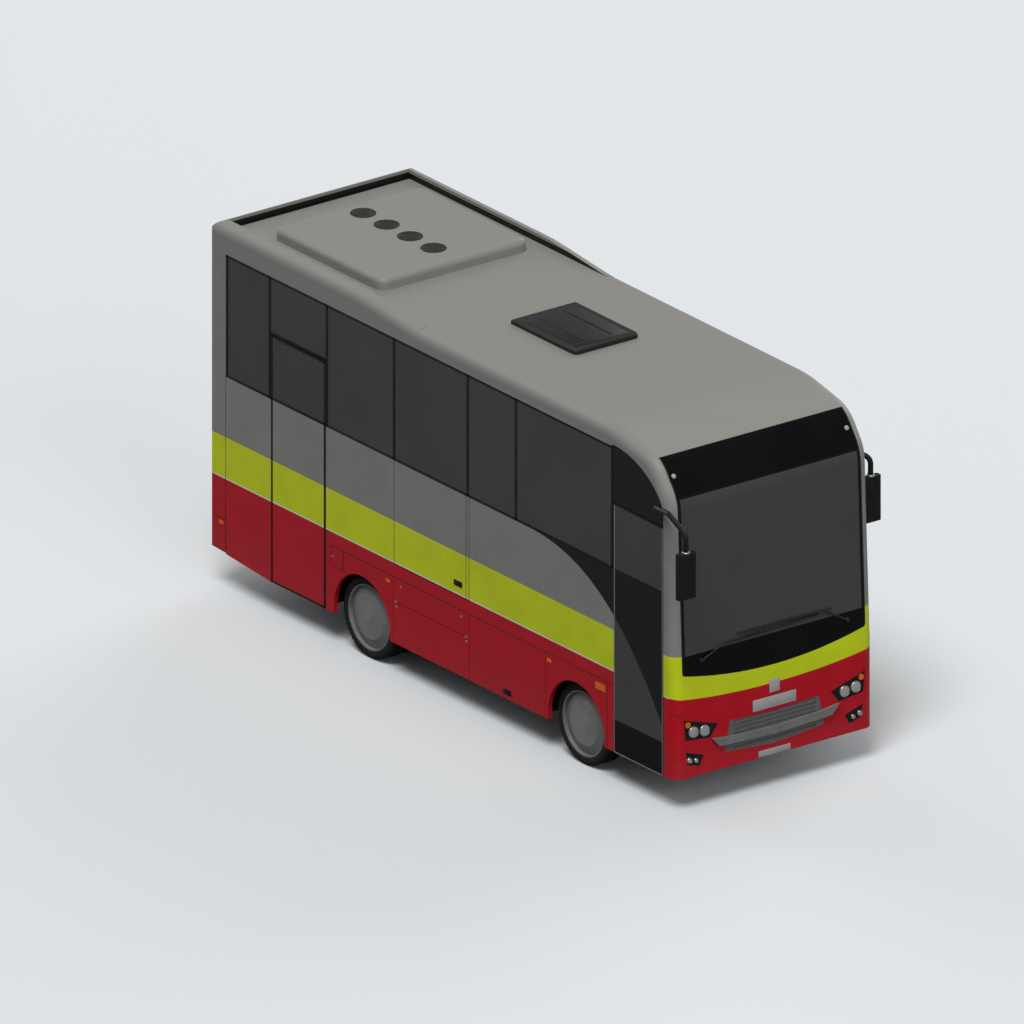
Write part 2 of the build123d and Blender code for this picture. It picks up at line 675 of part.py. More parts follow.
# Door leaves: a frame with glass let into its outer face
DOOR_STILE = 50
FRONT_GLASS_FOOT = 640
DOORS = {
    "rear_door": (REAR_DOOR, REAR_DOOR_TOP, [(WINDOW_SILL, REAR_DOOR_TOP - 10)]),
    "front_door": (
        FRONT_DOOR,
        FRONT_DOOR_TOP,
        [(WINDOW_SILL, FRONT_DOOR_TOP - 10), (FRONT_GLASS_FOOT, WINDOW_SILL - 20)],
    ),
}
for name, (span, top, panes) in DOORS.items():
    door_x = (at(span[0]), at(span[1]))
    with BuildPart() as door:
        with BuildSketch(skin_plane(RIGHT)):
            rectangle_between(door_x, (SKIRT_HEIGHT, top))
        extrude(amount=RIGHT * WALL)
        with BuildSketch(skin_plane(RIGHT)):
            for pane in panes:
                rectangle_between((door_x[0] + 10, door_x[1] - 10), pane)
        extrude(amount=RIGHT * GLASS, mode=Mode.SUBTRACT)
        with BuildSketch(skin_plane(RIGHT)):
            for pane in panes:
                rectangle_between(
                    (door_x[0] + DOOR_STILE, door_x[1] - DOOR_STILE),
                    (pane[0] + WINDOW_BORDER, pane[1] - WINDOW_BORDER),
                )
        extrude(amount=RIGHT * WALL, mode=Mode.SUBTRACT)
    door.part.label = name
    export_step(door.part, f"parts/{name}.step")

    with BuildPart() as door_glass:
        with BuildSketch(skin_plane(RIGHT)):
            for pane in panes:
                rectangle_between((door_x[0] + 10, door_x[1] - 10), pane)
        extrude(amount=RIGHT * GLASS)
    door_glass.part.label = f"{name}_glass"
    export_step(door_glass.part, f"parts/{name}_glass.step")

# Hinge pins, each lying in the gap beside its leaf on the outer skin
PIN_REACH = PIN_RADIUS + PIN_CLEARANCE
LID_PIN_Z = WALL_FOOT - PIN_REACH
with BuildPart() as hinge_pins:
    for span, foot, top in (
        (REAR_DOOR, SKIRT_HEIGHT, REAR_DOOR_TOP),
        (FRONT_DOOR, SKIRT_HEIGHT, FRONT_DOOR_TOP),
        (FLAP_SPAN, FLAP_FOOT, WALL_FOOT - HINGE_GAP),
    ):
        with BuildSketch(Plane.XY.offset(foot)):
            with Locations((at(span[1]) + PIN_REACH, -HALF_WIDTH)):
                Circle(PIN_RADIUS)
        extrude(amount=top - foot)
    for side in (RIGHT, LEFT):
        for start, end in zip(LOCKER_POSTS, LOCKER_POSTS[1:]):
            with BuildSketch(Plane.YZ.offset(at(start) + HINGE_GAP)):
                with Locations((side * HALF_WIDTH, LID_PIN_Z)):
                    Circle(PIN_RADIUS)
            extrude(amount=end - start - 2 * HINGE_GAP)
    with BuildSketch(Plane.XZ.offset(-BOOT_LID_WIDTH / 2)):
        with Locations((REAR_X, BOOT_LID_TOP + PIN_REACH)):
            Circle(PIN_RADIUS)
    extrude(amount=BOOT_LID_WIDTH)
    with BuildSketch(Plane.XZ.offset(-HATCH_WIDTH / 2)):
        with Locations((HATCH_X[0] - PIN_REACH, ROOF_HEIGHT + PIN_REACH)):
            Circle(PIN_RADIUS)
    extrude(amount=HATCH_WIDTH)
hinge_pins.part.label = "hinge_pins"
export_step(hinge_pins.part, "parts/hinge_pins.step")

# Roof fittings
with BuildPart() as roof_coaming:
    add(body_form(0, rise=COAMING_RISE))
    add(
        block((REAR_X - 1, at(COAMING_FADE - COAMING_STOP)), ACROSS, (ROOF_SEAM + 20, ROOF_HEIGHT + FAR)),
        mode=Mode.INTERSECT,
    )
    add(OUTER_FORM, mode=Mode.SUBTRACT)
    with BuildSketch(Plane.XY.offset(ROOF_HEIGHT)):
        rectangle_between(
            (REAR_X + COAMING_WIDTH, at(COAMING_FADE)), (COAMING_WIDTH - HALF_WIDTH, HALF_WIDTH - COAMING_WIDTH)
        )
    extrude(amount=FAR, mode=Mode.SUBTRACT)
roof_coaming.part.label = "roof_coaming"
export_step(roof_coaming.part, "parts/roof_coaming.step")

with BuildPart() as air_conditioner:
    with BuildSketch(Plane.XY.offset(ROOF_HEIGHT)):
        rectangle_between((at(COOLER_SPAN[0]), at(COOLER_SPAN[1])), (-COOLER_WIDTH / 2, COOLER_WIDTH / 2))
    extrude(amount=COOLER_RISE)
    fillet(air_conditioner.edges().filter_by(Axis.Z), radius=COOLER_CORNER)
    fillet(air_conditioner.faces().sort_by(Axis.Z)[-1].edges(), radius=COOLER_EDGE)
air_conditioner.part.label = "air_conditioner"
export_step(air_conditioner.part, "parts/air_conditioner.step")

FIRST_FAN = COOLER_SPAN[0] + 245
with BuildPart() as fan_guards:
    with BuildSketch(Plane.XY.offset(ROOF_HEIGHT + COOLER_RISE)):
        with Locations(*[(at(FIRST_FAN + row * FAN_PITCH), 0) for row in range(FAN_COUNT)]):
            Circle(FAN_RADIUS)
    extrude(amount=6)
fan_guards.part.label = "fan_guards"
export_step(fan_guards.part, "parts/fan_guards.step")

with BuildPart() as roof_hatch:
    with BuildSketch(Plane.XY.offset(ROOF_HEIGHT + HATCH_GAP)):
        rectangle_between(HATCH_X, (-HATCH_WIDTH / 2, HATCH_WIDTH / 2))
    extrude(amount=HATCH_THICKNESS - HATCH_GAP)
    fillet(roof_hatch.edges().filter_by(Axis.Z).sort_by(Axis.X)[2:], radius=50)
    chamfer(roof_hatch.faces().sort_by(Axis.Z)[-1].edges(), length=10)
roof_hatch.part.label = "roof_hatch"
export_step(roof_hatch.part, "parts/roof_hatch.step")

# Mirrors: a bent tube arm and a rounded head on each side
MIRROR_HEAD = (80, 200, 430)
MIRROR_ARM_RADIUS = 25
ARM_BEND = 90
MIRROR_FOOT = (FRONT_X - 274, HALF_WIDTH, ROOF_HEIGHT - 575)
HEAD_Y = HALF_WIDTH + MIRROR_HEAD[1] / 2
HEAD_TOP = ROOF_HEIGHT - 805
ARM_BENDS = {
    "right": [
        (FRONT_X + 50, ROOF_HEIGHT - 505),
        (FRONT_X + MIRROR_REACH - MIRROR_HEAD[0] / 2, ROOF_HEIGHT - 625),
    ],
    "left": [(FRONT_X - 190, ROOF_HEIGHT - 625)],
}
with BuildPart() as mirrors:
    for side, name in ((RIGHT, "right"), (LEFT, "left")):
        bends = [(x, side * HEAD_Y, z) for x, z in ARM_BENDS[name]]
        head_x = bends[-1][0]
        foot = (MIRROR_FOOT[0], side * MIRROR_FOOT[1], MIRROR_FOOT[2])
        with BuildLine():
            arm = FilletPolyline(foot, *bends, (head_x, side * HEAD_Y, HEAD_TOP - 60), radius=ARM_BEND)
        with BuildSketch(Plane(origin=arm @ 0, z_dir=arm % 0)):
            Circle(MIRROR_ARM_RADIUS)
        sweep()
        with BuildSketch(Plane.XY.offset(HEAD_TOP)):
            with Locations((head_x, side * HEAD_Y)):
                RectangleRounded(MIRROR_HEAD[0], MIRROR_HEAD[1], radius=30)
        extrude(amount=-MIRROR_HEAD[2])
    add(OUTER_FORM, mode=Mode.SUBTRACT)
mirrors.part.label = "mirrors"
export_step(mirrors.part, "parts/mirrors.step")

# Wipers, laid out on a plane just ahead of the leaning screen
lean = degrees(atan2(SCREEN_LEAN, BROW_HEIGHT - SCREEN_FOOT))
WIPER_GAP = 10
WIPER_DEPTH = 14
WIPER_ARM_WIDTH = 16
wiper_plane = Plane(
    origin=(FRONT_X + WIPER_GAP, 0, SCREEN_FOOT), x_dir=(0, 1, 0), z_dir=(cos(radians(lean)), 0, sin(radians(lean)))
)
WIPERS = [((-820, 1420), (40, 1530)), ((820, 1420), (150, 1585))]
WIPER_REACH = (690, 520)
with BuildPart() as wipers:
    for (pivot, tip), reach in zip(WIPERS, WIPER_REACH):
        start = (pivot[0], pivot[1] - SCREEN_FOOT)
        end = (tip[0], tip[1] - SCREEN_FOOT)
        with BuildSketch(wiper_plane):
            with BuildLine():
                Polyline(start, end)
            trace(line_width=WIPER_ARM_WIDTH)
            with Locations(end):
                Rectangle(2 * reach, 20)
            with Locations(start):
                Circle(24)
        extrude(amount=WIPER_DEPTH)
        with BuildSketch(wiper_plane):
            with Locations(start):
                Circle(14)
        extrude(amount=-WIPER_GAP - WIPER_DEPTH)
    add(OUTER_FORM, mode=Mode.SUBTRACT)
wipers.part.label = "wipers"
export_step(wipers.part, "parts/wipers.step")

# Small lamps: amber markers along the skirts, indicators in the clusters and markers on the brow
MARKERS = [(170, 660, 60, 30), (2655, 895, 60, 30), (5065, 895, 60, 30), (5830, 885, 145, 65)]
MARKER_DEPTH = 6
with BuildPart() as amber_lamps:
    for side in (RIGHT, LEFT):
        for distance, height, length, depth in MARKERS:
            with BuildSketch(skin_plane(side)):
                with Locations((at(distance), height)):
                    Rectangle(length, depth)
            extrude(amount=-side * MARKER_DEPTH)
        with BuildSketch(Plane.YZ.offset(FRONT_X - LAMP_POCKET)):
            with Locations((side * INDICATOR[0], INDICATOR[1])):
                Circle(INDICATOR[2] - LAMP_CLEARANCE)
        extrude(amount=LAMP_POCKET + LAMP_BULGE)
amber_lamps.part.label = "amber_lamps"
export_step(amber_lamps.part, "parts/amber_lamps.step")

# Floor: one bent sheet from the raised boot top down to the saloon, with bearers on the rails
STEP_SHEET = 20
step_rise = (FLOOR_HEIGHT - FIRST_STEP) / STEP_COUNT
STEP_WELL = STEP_COUNT * STEP_WIDTH
WELL_Y = (-INNER_HALF, -INNER_HALF + STEP_WELL)
floor_under = FLOOR_HEIGHT - FLOOR_THICKNESS
with BuildPart() as floor:
    with BuildSketch(Plane.XZ.offset(-INNER_HALF)):
        outline(
            [
                (REAR_X + WALL, BOOT_TOP),
                (at(BOOT_LENGTH), BOOT_TOP),
                (at(BOOT_LENGTH), FLOOR_HEIGHT),
                (FRONT_X - WALL, FLOOR_HEIGHT),
                (FRONT_X - WALL, floor_under),
                (at(BOOT_LENGTH) - FLOOR_THICKNESS, floor_under),
                (at(BOOT_LENGTH) - FLOOR_THICKNESS, BOOT_TOP - FLOOR_THICKNESS),
                (REAR_X + WALL, BOOT_TOP - FLOOR_THICKNESS),
            ]
        )
    extrude(amount=2 * INNER_HALF)
    add(INNER_FORM, mode=Mode.INTERSECT)
    for span in (REAR_DOOR, FRONT_DOOR):
        with BuildSketch(Plane.XY.offset(FLOOR_HEIGHT)):
            rectangle_between((at(span[0]), at(span[1])), (-HALF_WIDTH, WELL_Y[1]))
        extrude(amount=-FLOOR_THICKNESS, mode=Mode.SUBTRACT)
    for side in (RIGHT, LEFT):
        with BuildSketch(Plane.XY.offset(RAIL_TOP)):
            with Locations((0, side * RAIL_OFFSET)):
                rectangle_between((at(BOOT_LENGTH), FRONT_X - 2 * FAR), (-RAIL_WIDTH / 2, RAIL_WIDTH / 2))
        extrude(amount=floor_under - RAIL_TOP)
    for span in (REAR_DOOR, FRONT_DOOR):
        with BuildSketch(Plane.XY.offset(RAIL_TOP)):
            rectangle_between((at(span[0]), at(span[1])), (-HALF_WIDTH, WELL_Y[1] + STEP_SHEET))
        extrude(amount=floor_under - RAIL_TOP, mode=Mode.SUBTRACT)
floor.part.label = "floor"
export_step(floor.part, "parts/floor.step")

with BuildPart() as steps:
    for span in (REAR_DOOR, FRONT_DOOR):
        stair = []
        under = []
        for step in range(STEP_COUNT):
            y = WELL_Y[0] + step * STEP_WIDTH
            z = FIRST_STEP + step * step_rise
            stair += [(y, z), (y + STEP_WIDTH, z)]
            under += [(y + (STEP_SHEET if step else 0), z - STEP_SHEET), (y + STEP_WIDTH + STEP_SHEET, z - STEP_SHEET)]
        stair[0] = (WELL_Y[0] + HINGE_GAP, FIRST_STEP)
        under[0] = (WELL_Y[0] + HINGE_GAP, FIRST_STEP - STEP_SHEET)
        stair.append((WELL_Y[1], floor_under))
        under.append((WELL_Y[1] + STEP_SHEET, floor_under))
        with BuildSketch(Plane.YZ.offset(at(span[0]) + HINGE_GAP)):
            outline([*stair, *reversed(under)])
        extrude(amount=span[1] - span[0] - 2 * HINGE_GAP)
steps.part.label = "steps"
export_step(steps.part, "parts/steps.step")

# Chassis: two rails with cross members between them
CROSS_MEMBERS = (200, 1250, 2900, 3900, 5000, 5750)
CROSS_SIZE = (80, 120)
with BuildPart() as chassis_frame:
    for side in (RIGHT, LEFT):
        with BuildSketch(Plane.XY.offset(RAIL_HEIGHT)):
            rectangle_between(
                (at(CROSS_MEMBERS[0]) - CROSS_SIZE[0], FRONT_X - WALL),
                (side * RAIL_OFFSET - RAIL_WIDTH / 2, side * RAIL_OFFSET + RAIL_WIDTH / 2),
            )
        extrude(amount=RAIL_DEPTH)
    for distance in CROSS_MEMBERS:
        with BuildSketch(Plane.XY.offset(RAIL_TOP - CROSS_SIZE[1])):
            with Locations((at(distance), 0)):
                Rectangle(CROSS_SIZE[0], 2 * RAIL_OFFSET)
        extrude(amount=CROSS_SIZE[1])
chassis_frame.part.label = "chassis_frame"
export_step(chassis_frame.part, "parts/chassis_frame.step")

ENGINE_SIZE = (700, 600, 560)
ENGINE_X = FRONT_X - 830
with BuildPart() as engine_block:
    with BuildSketch(Plane.XY.offset(RAIL_HEIGHT - 90)):
        with Locations((ENGINE_X, 0)):
            Rectangle(ENGINE_SIZE[0], ENGINE_SIZE[1])
    extrude(amount=ENGINE_SIZE[2])
    for distance in CROSS_MEMBERS:
        with BuildSketch(Plane.XY.offset(RAIL_TOP - CROSS_SIZE[1])):
            with Locations((at(distance), 0)):
                Rectangle(CROSS_SIZE[0], 2 * RAIL_OFFSET)
        extrude(amount=FAR, mode=Mode.SUBTRACT)
engine_block.part.label = "engine_block"
export_step(engine_block.part, "parts/engine_block.step")

TANK_X = (1000, 1650)
TANK_Y = (RAIL_OFFSET + RAIL_WIDTH / 2, 950)
with BuildPart() as fuel_tank:
    with BuildSketch(Plane.YZ.offset(at(TANK_X[0]))):
        rectangle_between(TANK_Y, (RAIL_HEIGHT - 150, RAIL_TOP + 60))
    extrude(amount=TANK_X[1] - TANK_X[0])
    fillet(fuel_tank.edges().filter_by(Axis.X).group_by(Axis.Y)[-1], radius=60)
fuel_tank.part.label = "fuel_tank"
export_step(fuel_tank.part, "parts/fuel_tank.step")

SILENCER_RADIUS = 95
PIPE_RADIUS = 35
SILENCER_Z = RAIL_TOP - CROSS_SIZE[1] - SILENCER_RADIUS
with BuildPart() as silencer:
    with BuildSketch(Plane.YZ.offset(at(600))):
        with Locations((0, SILENCER_Z)):
            Circle(SILENCER_RADIUS)
    extrude(amount=750)
    with BuildSketch(Plane.YZ.offset(REAR_X + WALL + 20)):
        with Locations((0, SILENCER_Z)):
            Circle(PIPE_RADIUS)
    extrude(amount=600)
silencer.part.label = "silencer"
export_step(silencer.part, "parts/silencer.step")

# Springs, axles and knuckles
SPRING_SEAT = TYRE_RADIUS + 60
SPRING_HALF = 550
SPRING_DEPTH = 30
with BuildPart() as leaf_springs:
    for axle_x in (REAR_AXLE_X, FRONT_AXLE_X):
        for side in (RIGHT, LEFT):
            with BuildSketch(Plane.XZ.offset(-side * RAIL_OFFSET)):
                with BuildLine():
                    low = ThreePointArc(
                        (axle_x - SPRING_HALF, RAIL_HEIGHT - SPRING_DEPTH),
                        (axle_x, SPRING_SEAT),
                        (axle_x + SPRING_HALF, RAIL_HEIGHT - SPRING_DEPTH),
                    )
                    high = ThreePointArc(
                        (axle_x + SPRING_HALF, RAIL_HEIGHT),
                        (axle_x, SPRING_SEAT + SPRING_DEPTH),
                        (axle_x - SPRING_HALF, RAIL_HEIGHT),
                    )
                    Line(low @ 1, high @ 0)
                    Line(high @ 1, low @ 0)
                make_face()
                for end in (-SPRING_HALF, SPRING_HALF):
                    with Locations((axle_x + end, RAIL_HEIGHT - SPRING_DEPTH / 2)):
                        Rectangle(60, SPRING_DEPTH)
            extrude(amount=RAIL_WIDTH / 2, both=True)
leaf_springs.part.label = "leaf_springs"
export_step(leaf_springs.part, "parts/leaf_springs.step")

PIN_R = 16
BOSS_RADIUS = 40
BOSS_HALF = 55
KNUCKLE_GAP = 2
KNUCKLE_PLATE = 26
with BuildPart() as front_axle:
    with BuildSketch(Plane.XZ.offset(-KINGPIN_Y)):
        rectangle_between((FRONT_AXLE_X - BOSS_RADIUS, FRONT_AXLE_X + BOSS_RADIUS), (TYRE_RADIUS - 30, TYRE_RADIUS + 50))
    extrude(amount=2 * KINGPIN_Y)
    for side in (RIGHT, LEFT):
        with BuildSketch(Plane.XY.offset(SPRING_SEAT - 20)):
            with Locations((FRONT_AXLE_X, side * RAIL_OFFSET)):
                Rectangle(140, RAIL_WIDTH + 30)
        extrude(amount=20)
        with BuildSketch(Plane.XY.offset(TYRE_RADIUS - BOSS_HALF)):
            with Locations((FRONT_AXLE_X, side * KINGPIN_Y)):
                Circle(BOSS_RADIUS)
        extrude(amount=2 * BOSS_HALF)
        with BuildSketch(Plane.XY.offset(TYRE_RADIUS - BOSS_HALF)):
            with Locations((FRONT_AXLE_X, side * KINGPIN_Y)):
                Circle(PIN_R + PIN_CLEARANCE)
        extrude(amount=2 * BOSS_HALF, mode=Mode.SUBTRACT)

FORK_HALF = BOSS_HALF + KNUCKLE_GAP + KNUCKLE_PLATE
FORK_WEB = KINGPIN_Y + BOSS_RADIUS + 8
SPINDLE_RADIUS = 28
SPINDLE_END = WHEEL_MIDDLE + 62
for side, name in ((RIGHT, "right"), (LEFT, "left")):
    with BuildPart() as knuckle:
        for foot in (-FORK_HALF, BOSS_HALF + KNUCKLE_GAP):
            with BuildSketch(Plane.XY.offset(TYRE_RADIUS + foot)):
                with Locations((FRONT_AXLE_X, side * KINGPIN_Y)):
                    Circle(BOSS_RADIUS)
                with Locations((FRONT_AXLE_X, side * (KINGPIN_Y + FORK_WEB + KNUCKLE_PLATE) / 2)):
                    Rectangle(2 * BOSS_RADIUS, FORK_WEB + KNUCKLE_PLATE - KINGPIN_Y)
            extrude(amount=KNUCKLE_PLATE)
        with BuildSketch(Plane.XY.offset(TYRE_RADIUS - FORK_HALF)):
            with Locations((FRONT_AXLE_X, side * (FORK_WEB + KNUCKLE_PLATE / 2))):
                Rectangle(2 * BOSS_RADIUS, KNUCKLE_PLATE)
        extrude(amount=2 * FORK_HALF)
        with BuildSketch(Plane.XY.offset(TYRE_RADIUS - FORK_HALF)):
            with Locations((FRONT_AXLE_X, side * KINGPIN_Y)):
                Circle(PIN_R)
        extrude(amount=2 * FORK_HALF)
        with BuildSketch(Plane.XZ.offset(-side * FORK_WEB)):
            with Locations((FRONT_AXLE_X, TYRE_RADIUS)):
                Circle(SPINDLE_RADIUS)
        extrude(amount=-side * (SPINDLE_END - FORK_WEB))
    knuckle.part.label = f"{name}_knuckle"
    export_step(knuckle.part, f"parts/{name}_knuckle.step")

AXLE_TUBE = 60
NOSE_RADIUS = 60
NOSE_LENGTH = 240
SHAFT_RADIUS = 38
SHAFT_START = (REAR_AXLE_X + NOSE_LENGTH, 0, TYRE_RADIUS)
SHAFT_END = (ENGINE_X - ENGINE_SIZE[0] / 2, 0, RAIL_HEIGHT - 20)
with BuildPart() as rear_axle:
    with BuildSketch(Plane.XZ):
        with Locations((REAR_AXLE_X, TYRE_RADIUS)):
            Circle(AXLE_TUBE)
    extrude(amount=WHEEL_MIDDLE - TWIN_SPACING - 60, both=True)
    with BuildSketch(Plane.XZ):
        with Locations((REAR_AXLE_X, TYRE_RADIUS)):
            Circle(SPINDLE_RADIUS)
    extrude(amount=SPINDLE_END, both=True)
    with Locations((REAR_AXLE_X, 0, TYRE_RADIUS)):
        Sphere(150)
    with BuildSketch(Plane.YZ.offset(REAR_AXLE_X)):
        with Locations((0, TYRE_RADIUS)):
            Circle(NOSE_RADIUS)
    extrude(amount=NOSE_LENGTH)
    with BuildSketch(Plane(origin=SHAFT_START, z_dir=(1, 0, 0))):
        Circle(SHAFT_RADIUS)
    extrude(amount=SHAFT_END[0] - SHAFT_START[0], dir=Vector(SHAFT_END) - Vector(SHAFT_START))
with BuildPart() as axles:
    add(front_axle.part)
    add(rear_axle.part)
axles.part.label = "axles"
export_step(axles.part, "parts/axles.step")

with BuildPart() as wheel_housings:
    for axle_x in (REAR_AXLE_X, FRONT_AXLE_X):
        for side in (RIGHT, LEFT):
            with BuildSketch(Plane.XZ.offset(-side * INNER_HALF)):
                with Locations((axle_x, TYRE_RADIUS)):
                    Circle(HOUSING_RADIUS + STEEL_SHEET)
                    Circle(HOUSING_RADIUS, mode=Mode.SUBTRACT)
                rectangle_between((axle_x - FAR * 2, axle_x + FAR * 2), (-FAR, TYRE_RADIUS), mode=Mode.SUBTRACT)
            extrude(amount=side * HOUSING_WIDTH)
wheel_housings.part.label = "wheel_housings"
export_step(wheel_housings.part, "parts/wheel_housings.step")

# Wheels: profiles are turned about the axle, with radius along the sketch's upward axis
TYRE_HALF = TYRE_WIDTH / 2
TYRE_PROFILE = [
    (-TYRE_HALF + 6, RIM_RADIUS),
    (-TYRE_HALF, TYRE_RADIUS - 22),
    (-TYRE_HALF + 22, TYRE_RADIUS),
    (TYRE_HALF - 22, TYRE_RADIUS),
    (TYRE_HALF, TYRE_RADIUS - 22),
    (TYRE_HALF - 6, RIM_RADIUS),
]
HUB_RADIUS = 90
RIM_SHEET = 12
DISC_EDGE = RIM_RADIUS - 6
DISC_CROWN = 205
DISC_FOOT = 50
DISC_TOP = 108
SPINDLE_CLEARANCE = 0.5
BORE = SPINDLE_RADIUS + SPINDLE_CLEARANCE
BARREL = [
    (-TYRE_HALF + 8, RIM_RADIUS - RIM_SHEET),
    (-TYRE_HALF + 8, RIM_RADIUS),
    (TYRE_HALF - 8, RIM_RADIUS),
    (TYRE_HALF - 8, RIM_RADIUS - RIM_SHEET),
]


def disc_profile(centre):
    """A pressed wheel disc's section, from its edge up to its raised crown and in to a centre radius."""
    return [
        (DISC_FOOT, DISC_EDGE),
        (DISC_FOOT + RIM_SHEET, DISC_EDGE),
        (DISC_TOP - 6, DISC_CROWN),
        (DISC_TOP, centre),
        (DISC_TOP - RIM_SHEET, centre),
        (DISC_TOP - 6 - RIM_SHEET, DISC_CROWN - 6),
        (DISC_FOOT, DISC_EDGE - RIM_SHEET),
    ]


def wheel_plane(axle_x, side, offset):
    """A plane through a wheel's axis: sketch X points outward and sketch Y is the radius."""
    middle = side * (WHEEL_MIDDLE - offset)
    return Plane(origin=(axle_x, middle, TYRE_RADIUS), x_dir=(0, side, 0), z_dir=(-side, 0, 0))


def wheel_axis(axle_x):
    """The axis that one axle's wheels turn about."""
    return Axis((axle_x, 0, TYRE_RADIUS), (0, 1, 0))


for place, axle_x, offsets in (("front", FRONT_AXLE_X, (0,)), ("rear", REAR_AXLE_X, (0, TWIN_SPACING))):
    for side, name in ((RIGHT, "right"), (LEFT, "left")):
        with BuildPart() as tyre:
            for offset in offsets:
                with BuildSketch(wheel_plane(axle_x, side, offset)):
                    outline(TYRE_PROFILE)
                revolve(axis=wheel_axis(axle_x))
        tyre.part.label = f"{name}_{place}_tyre"
        export_step(tyre.part, f"parts/{name}_{place}_tyre.step")

        hub_inner = -30 - offsets[-1]
        with BuildPart() as rim:
            for offset in offsets:
                with BuildSketch(wheel_plane(axle_x, side, offset)):
                    outline(BARREL)
                revolve(axis=wheel_axis(axle_x))
                with BuildSketch(wheel_plane(axle_x, side, offset)):
                    outline(disc_profile(HUB_RADIUS - 10 if offset else 0))
                revolve(axis=wheel_axis(axle_x))
            with BuildSketch(wheel_plane(axle_x, side, 0)):
                hub_face = DISC_TOP - RIM_SHEET + 1
                outline([(hub_inner, BORE), (hub_inner, HUB_RADIUS), (hub_face, HUB_RADIUS), (hub_face, 0), (66, 0), (66, BORE)])
            revolve(axis=wheel_axis(axle_x))
        rim.part.label = f"{name}_{place}_rim"
        export_step(rim.part, f"parts/{name}_{place}_rim.step")

# Seats: a cushion and a raked back on a pedestal, cut from one side-view outline
SEAT_PITCH = 652.5
SEAT_WIDTH = 820
SEAT_DEPTH = 430
SEAT_RISE = 420
BACK_RISE = 700
SEAT_GAP = 20
SEAT_PROFILE = [
    (0, SEAT_RISE - 110),
    (SEAT_DEPTH, SEAT_RISE - 90),
    (SEAT_DEPTH, SEAT_RISE + 10),
    (90, SEAT_RISE - 20),
    (-60, SEAT_RISE + BACK_RISE - 10),
    (-130, SEAT_RISE + BACK_RISE - 30),
]
LEFT_ROWS = (1350, 6)
RIGHT_ROWS = (2350, 5)
seat_places = [
    (at(first) + row * SEAT_PITCH, side * (INNER_HALF - SEAT_GAP - SEAT_WIDTH / 2))
    for side, (first, rows) in ((LEFT, LEFT_ROWS), (RIGHT, RIGHT_ROWS))
    for row in range(rows)
]


def seat_outline(x, foot):
    """The side view of a seat whose cushion starts at X, on a floor at the given height."""
    return [(x + along, foot + up) for along, up in SEAT_PROFILE]


SEAT_CORNER = 24
BENCH_X = 330
BENCH_DROP = 200
DRIVER_X = FRONT_X - 1230
DRIVER_Y = 560
DRIVER_WIDTH = 500
seat_widths = [(x, y, FLOOR_HEIGHT, SEAT_WIDTH, SEAT_WIDTH / 2) for x, y in seat_places]
seat_widths.append((DRIVER_X, DRIVER_Y, FLOOR_HEIGHT, DRIVER_WIDTH, DRIVER_WIDTH / 2))
seat_widths.append((at(BENCH_X), 0, BOOT_TOP - BENCH_DROP, 2 * (INNER_HALF - SEAT_GAP), 2 * SEAT_WIDTH))
with BuildPart() as seats:
    for x, y, foot, width, pedestal in seat_widths:
        with BuildSketch(Plane.XZ.offset(-y)):
            with BuildLine():
                FilletPolyline(*seat_outline(x, foot), radius=SEAT_CORNER, close=True)
            make_face()
        extrude(amount=width / 2, both=True)
        with BuildSketch(Plane.XY.offset(max(foot, BOOT_TOP) if foot != FLOOR_HEIGHT else foot)):
            with Locations((x + SEAT_DEPTH / 2, y)):
                Rectangle(SEAT_DEPTH / 3, pedestal)
        extrude(until=Until.NEXT)
seats.part.label = "seats"
export_step(seats.part, "parts/seats.step")

DASH_LENGTH = 330
DASH_Y = (-290, INNER_HALF - 60)
with BuildPart() as dashboard:
    with BuildSketch(Plane.XZ.offset(-DASH_Y[1])):
        dash_front = FRONT_X - WALL
        outline(
            [
                (dash_front - 120, FLOOR_HEIGHT),
                (dash_front, FLOOR_HEIGHT),
                (dash_front, SCREEN_SILL - 120),
                (dash_front - 60, SCREEN_SILL - 40),
                (dash_front - DASH_LENGTH, SCREEN_SILL - 70),
                (dash_front - DASH_LENGTH + 30, SCREEN_SILL - 210),
            ]
        )
    extrude(amount=DASH_Y[1] - DASH_Y[0])
    add(INNER_FORM, mode=Mode.INTERSECT)
dashboard.part.label = "dashboard"
export_step(dashboard.part, "parts/dashboard.step")

# Steering column and wheel on a raked axis in front of the driver
COLUMN_RAKE = 32
COLUMN_TOP = (FRONT_X - 640, DRIVER_Y, FLOOR_HEIGHT + 590)
column_direction = Vector(-sin(radians(COLUMN_RAKE)), 0, cos(radians(COLUMN_RAKE)))
COLUMN_RADIUS = 26
COLUMN_LENGTH = (COLUMN_TOP[2] - FLOOR_HEIGHT) / cos(radians(COLUMN_RAKE)) - 30
wheel_face = Plane(origin=COLUMN_TOP, x_dir=(0, 1, 0), z_dir=column_direction)
with BuildPart() as steering_column:
    with BuildSketch(wheel_face.offset(-2 * PIN_RADIUS)):
        Circle(COLUMN_RADIUS)
    extrude(amount=-COLUMN_LENGTH - 60)
    add(block((REAR_X, FRONT_X), (-HALF_WIDTH, HALF_WIDTH), (0, FLOOR_HEIGHT)), mode=Mode.SUBTRACT)
    add(dashboard.part, mode=Mode.SUBTRACT)
steering_column.part.label = "steering_column"
export_step(steering_column.part, "parts/steering_column.step")

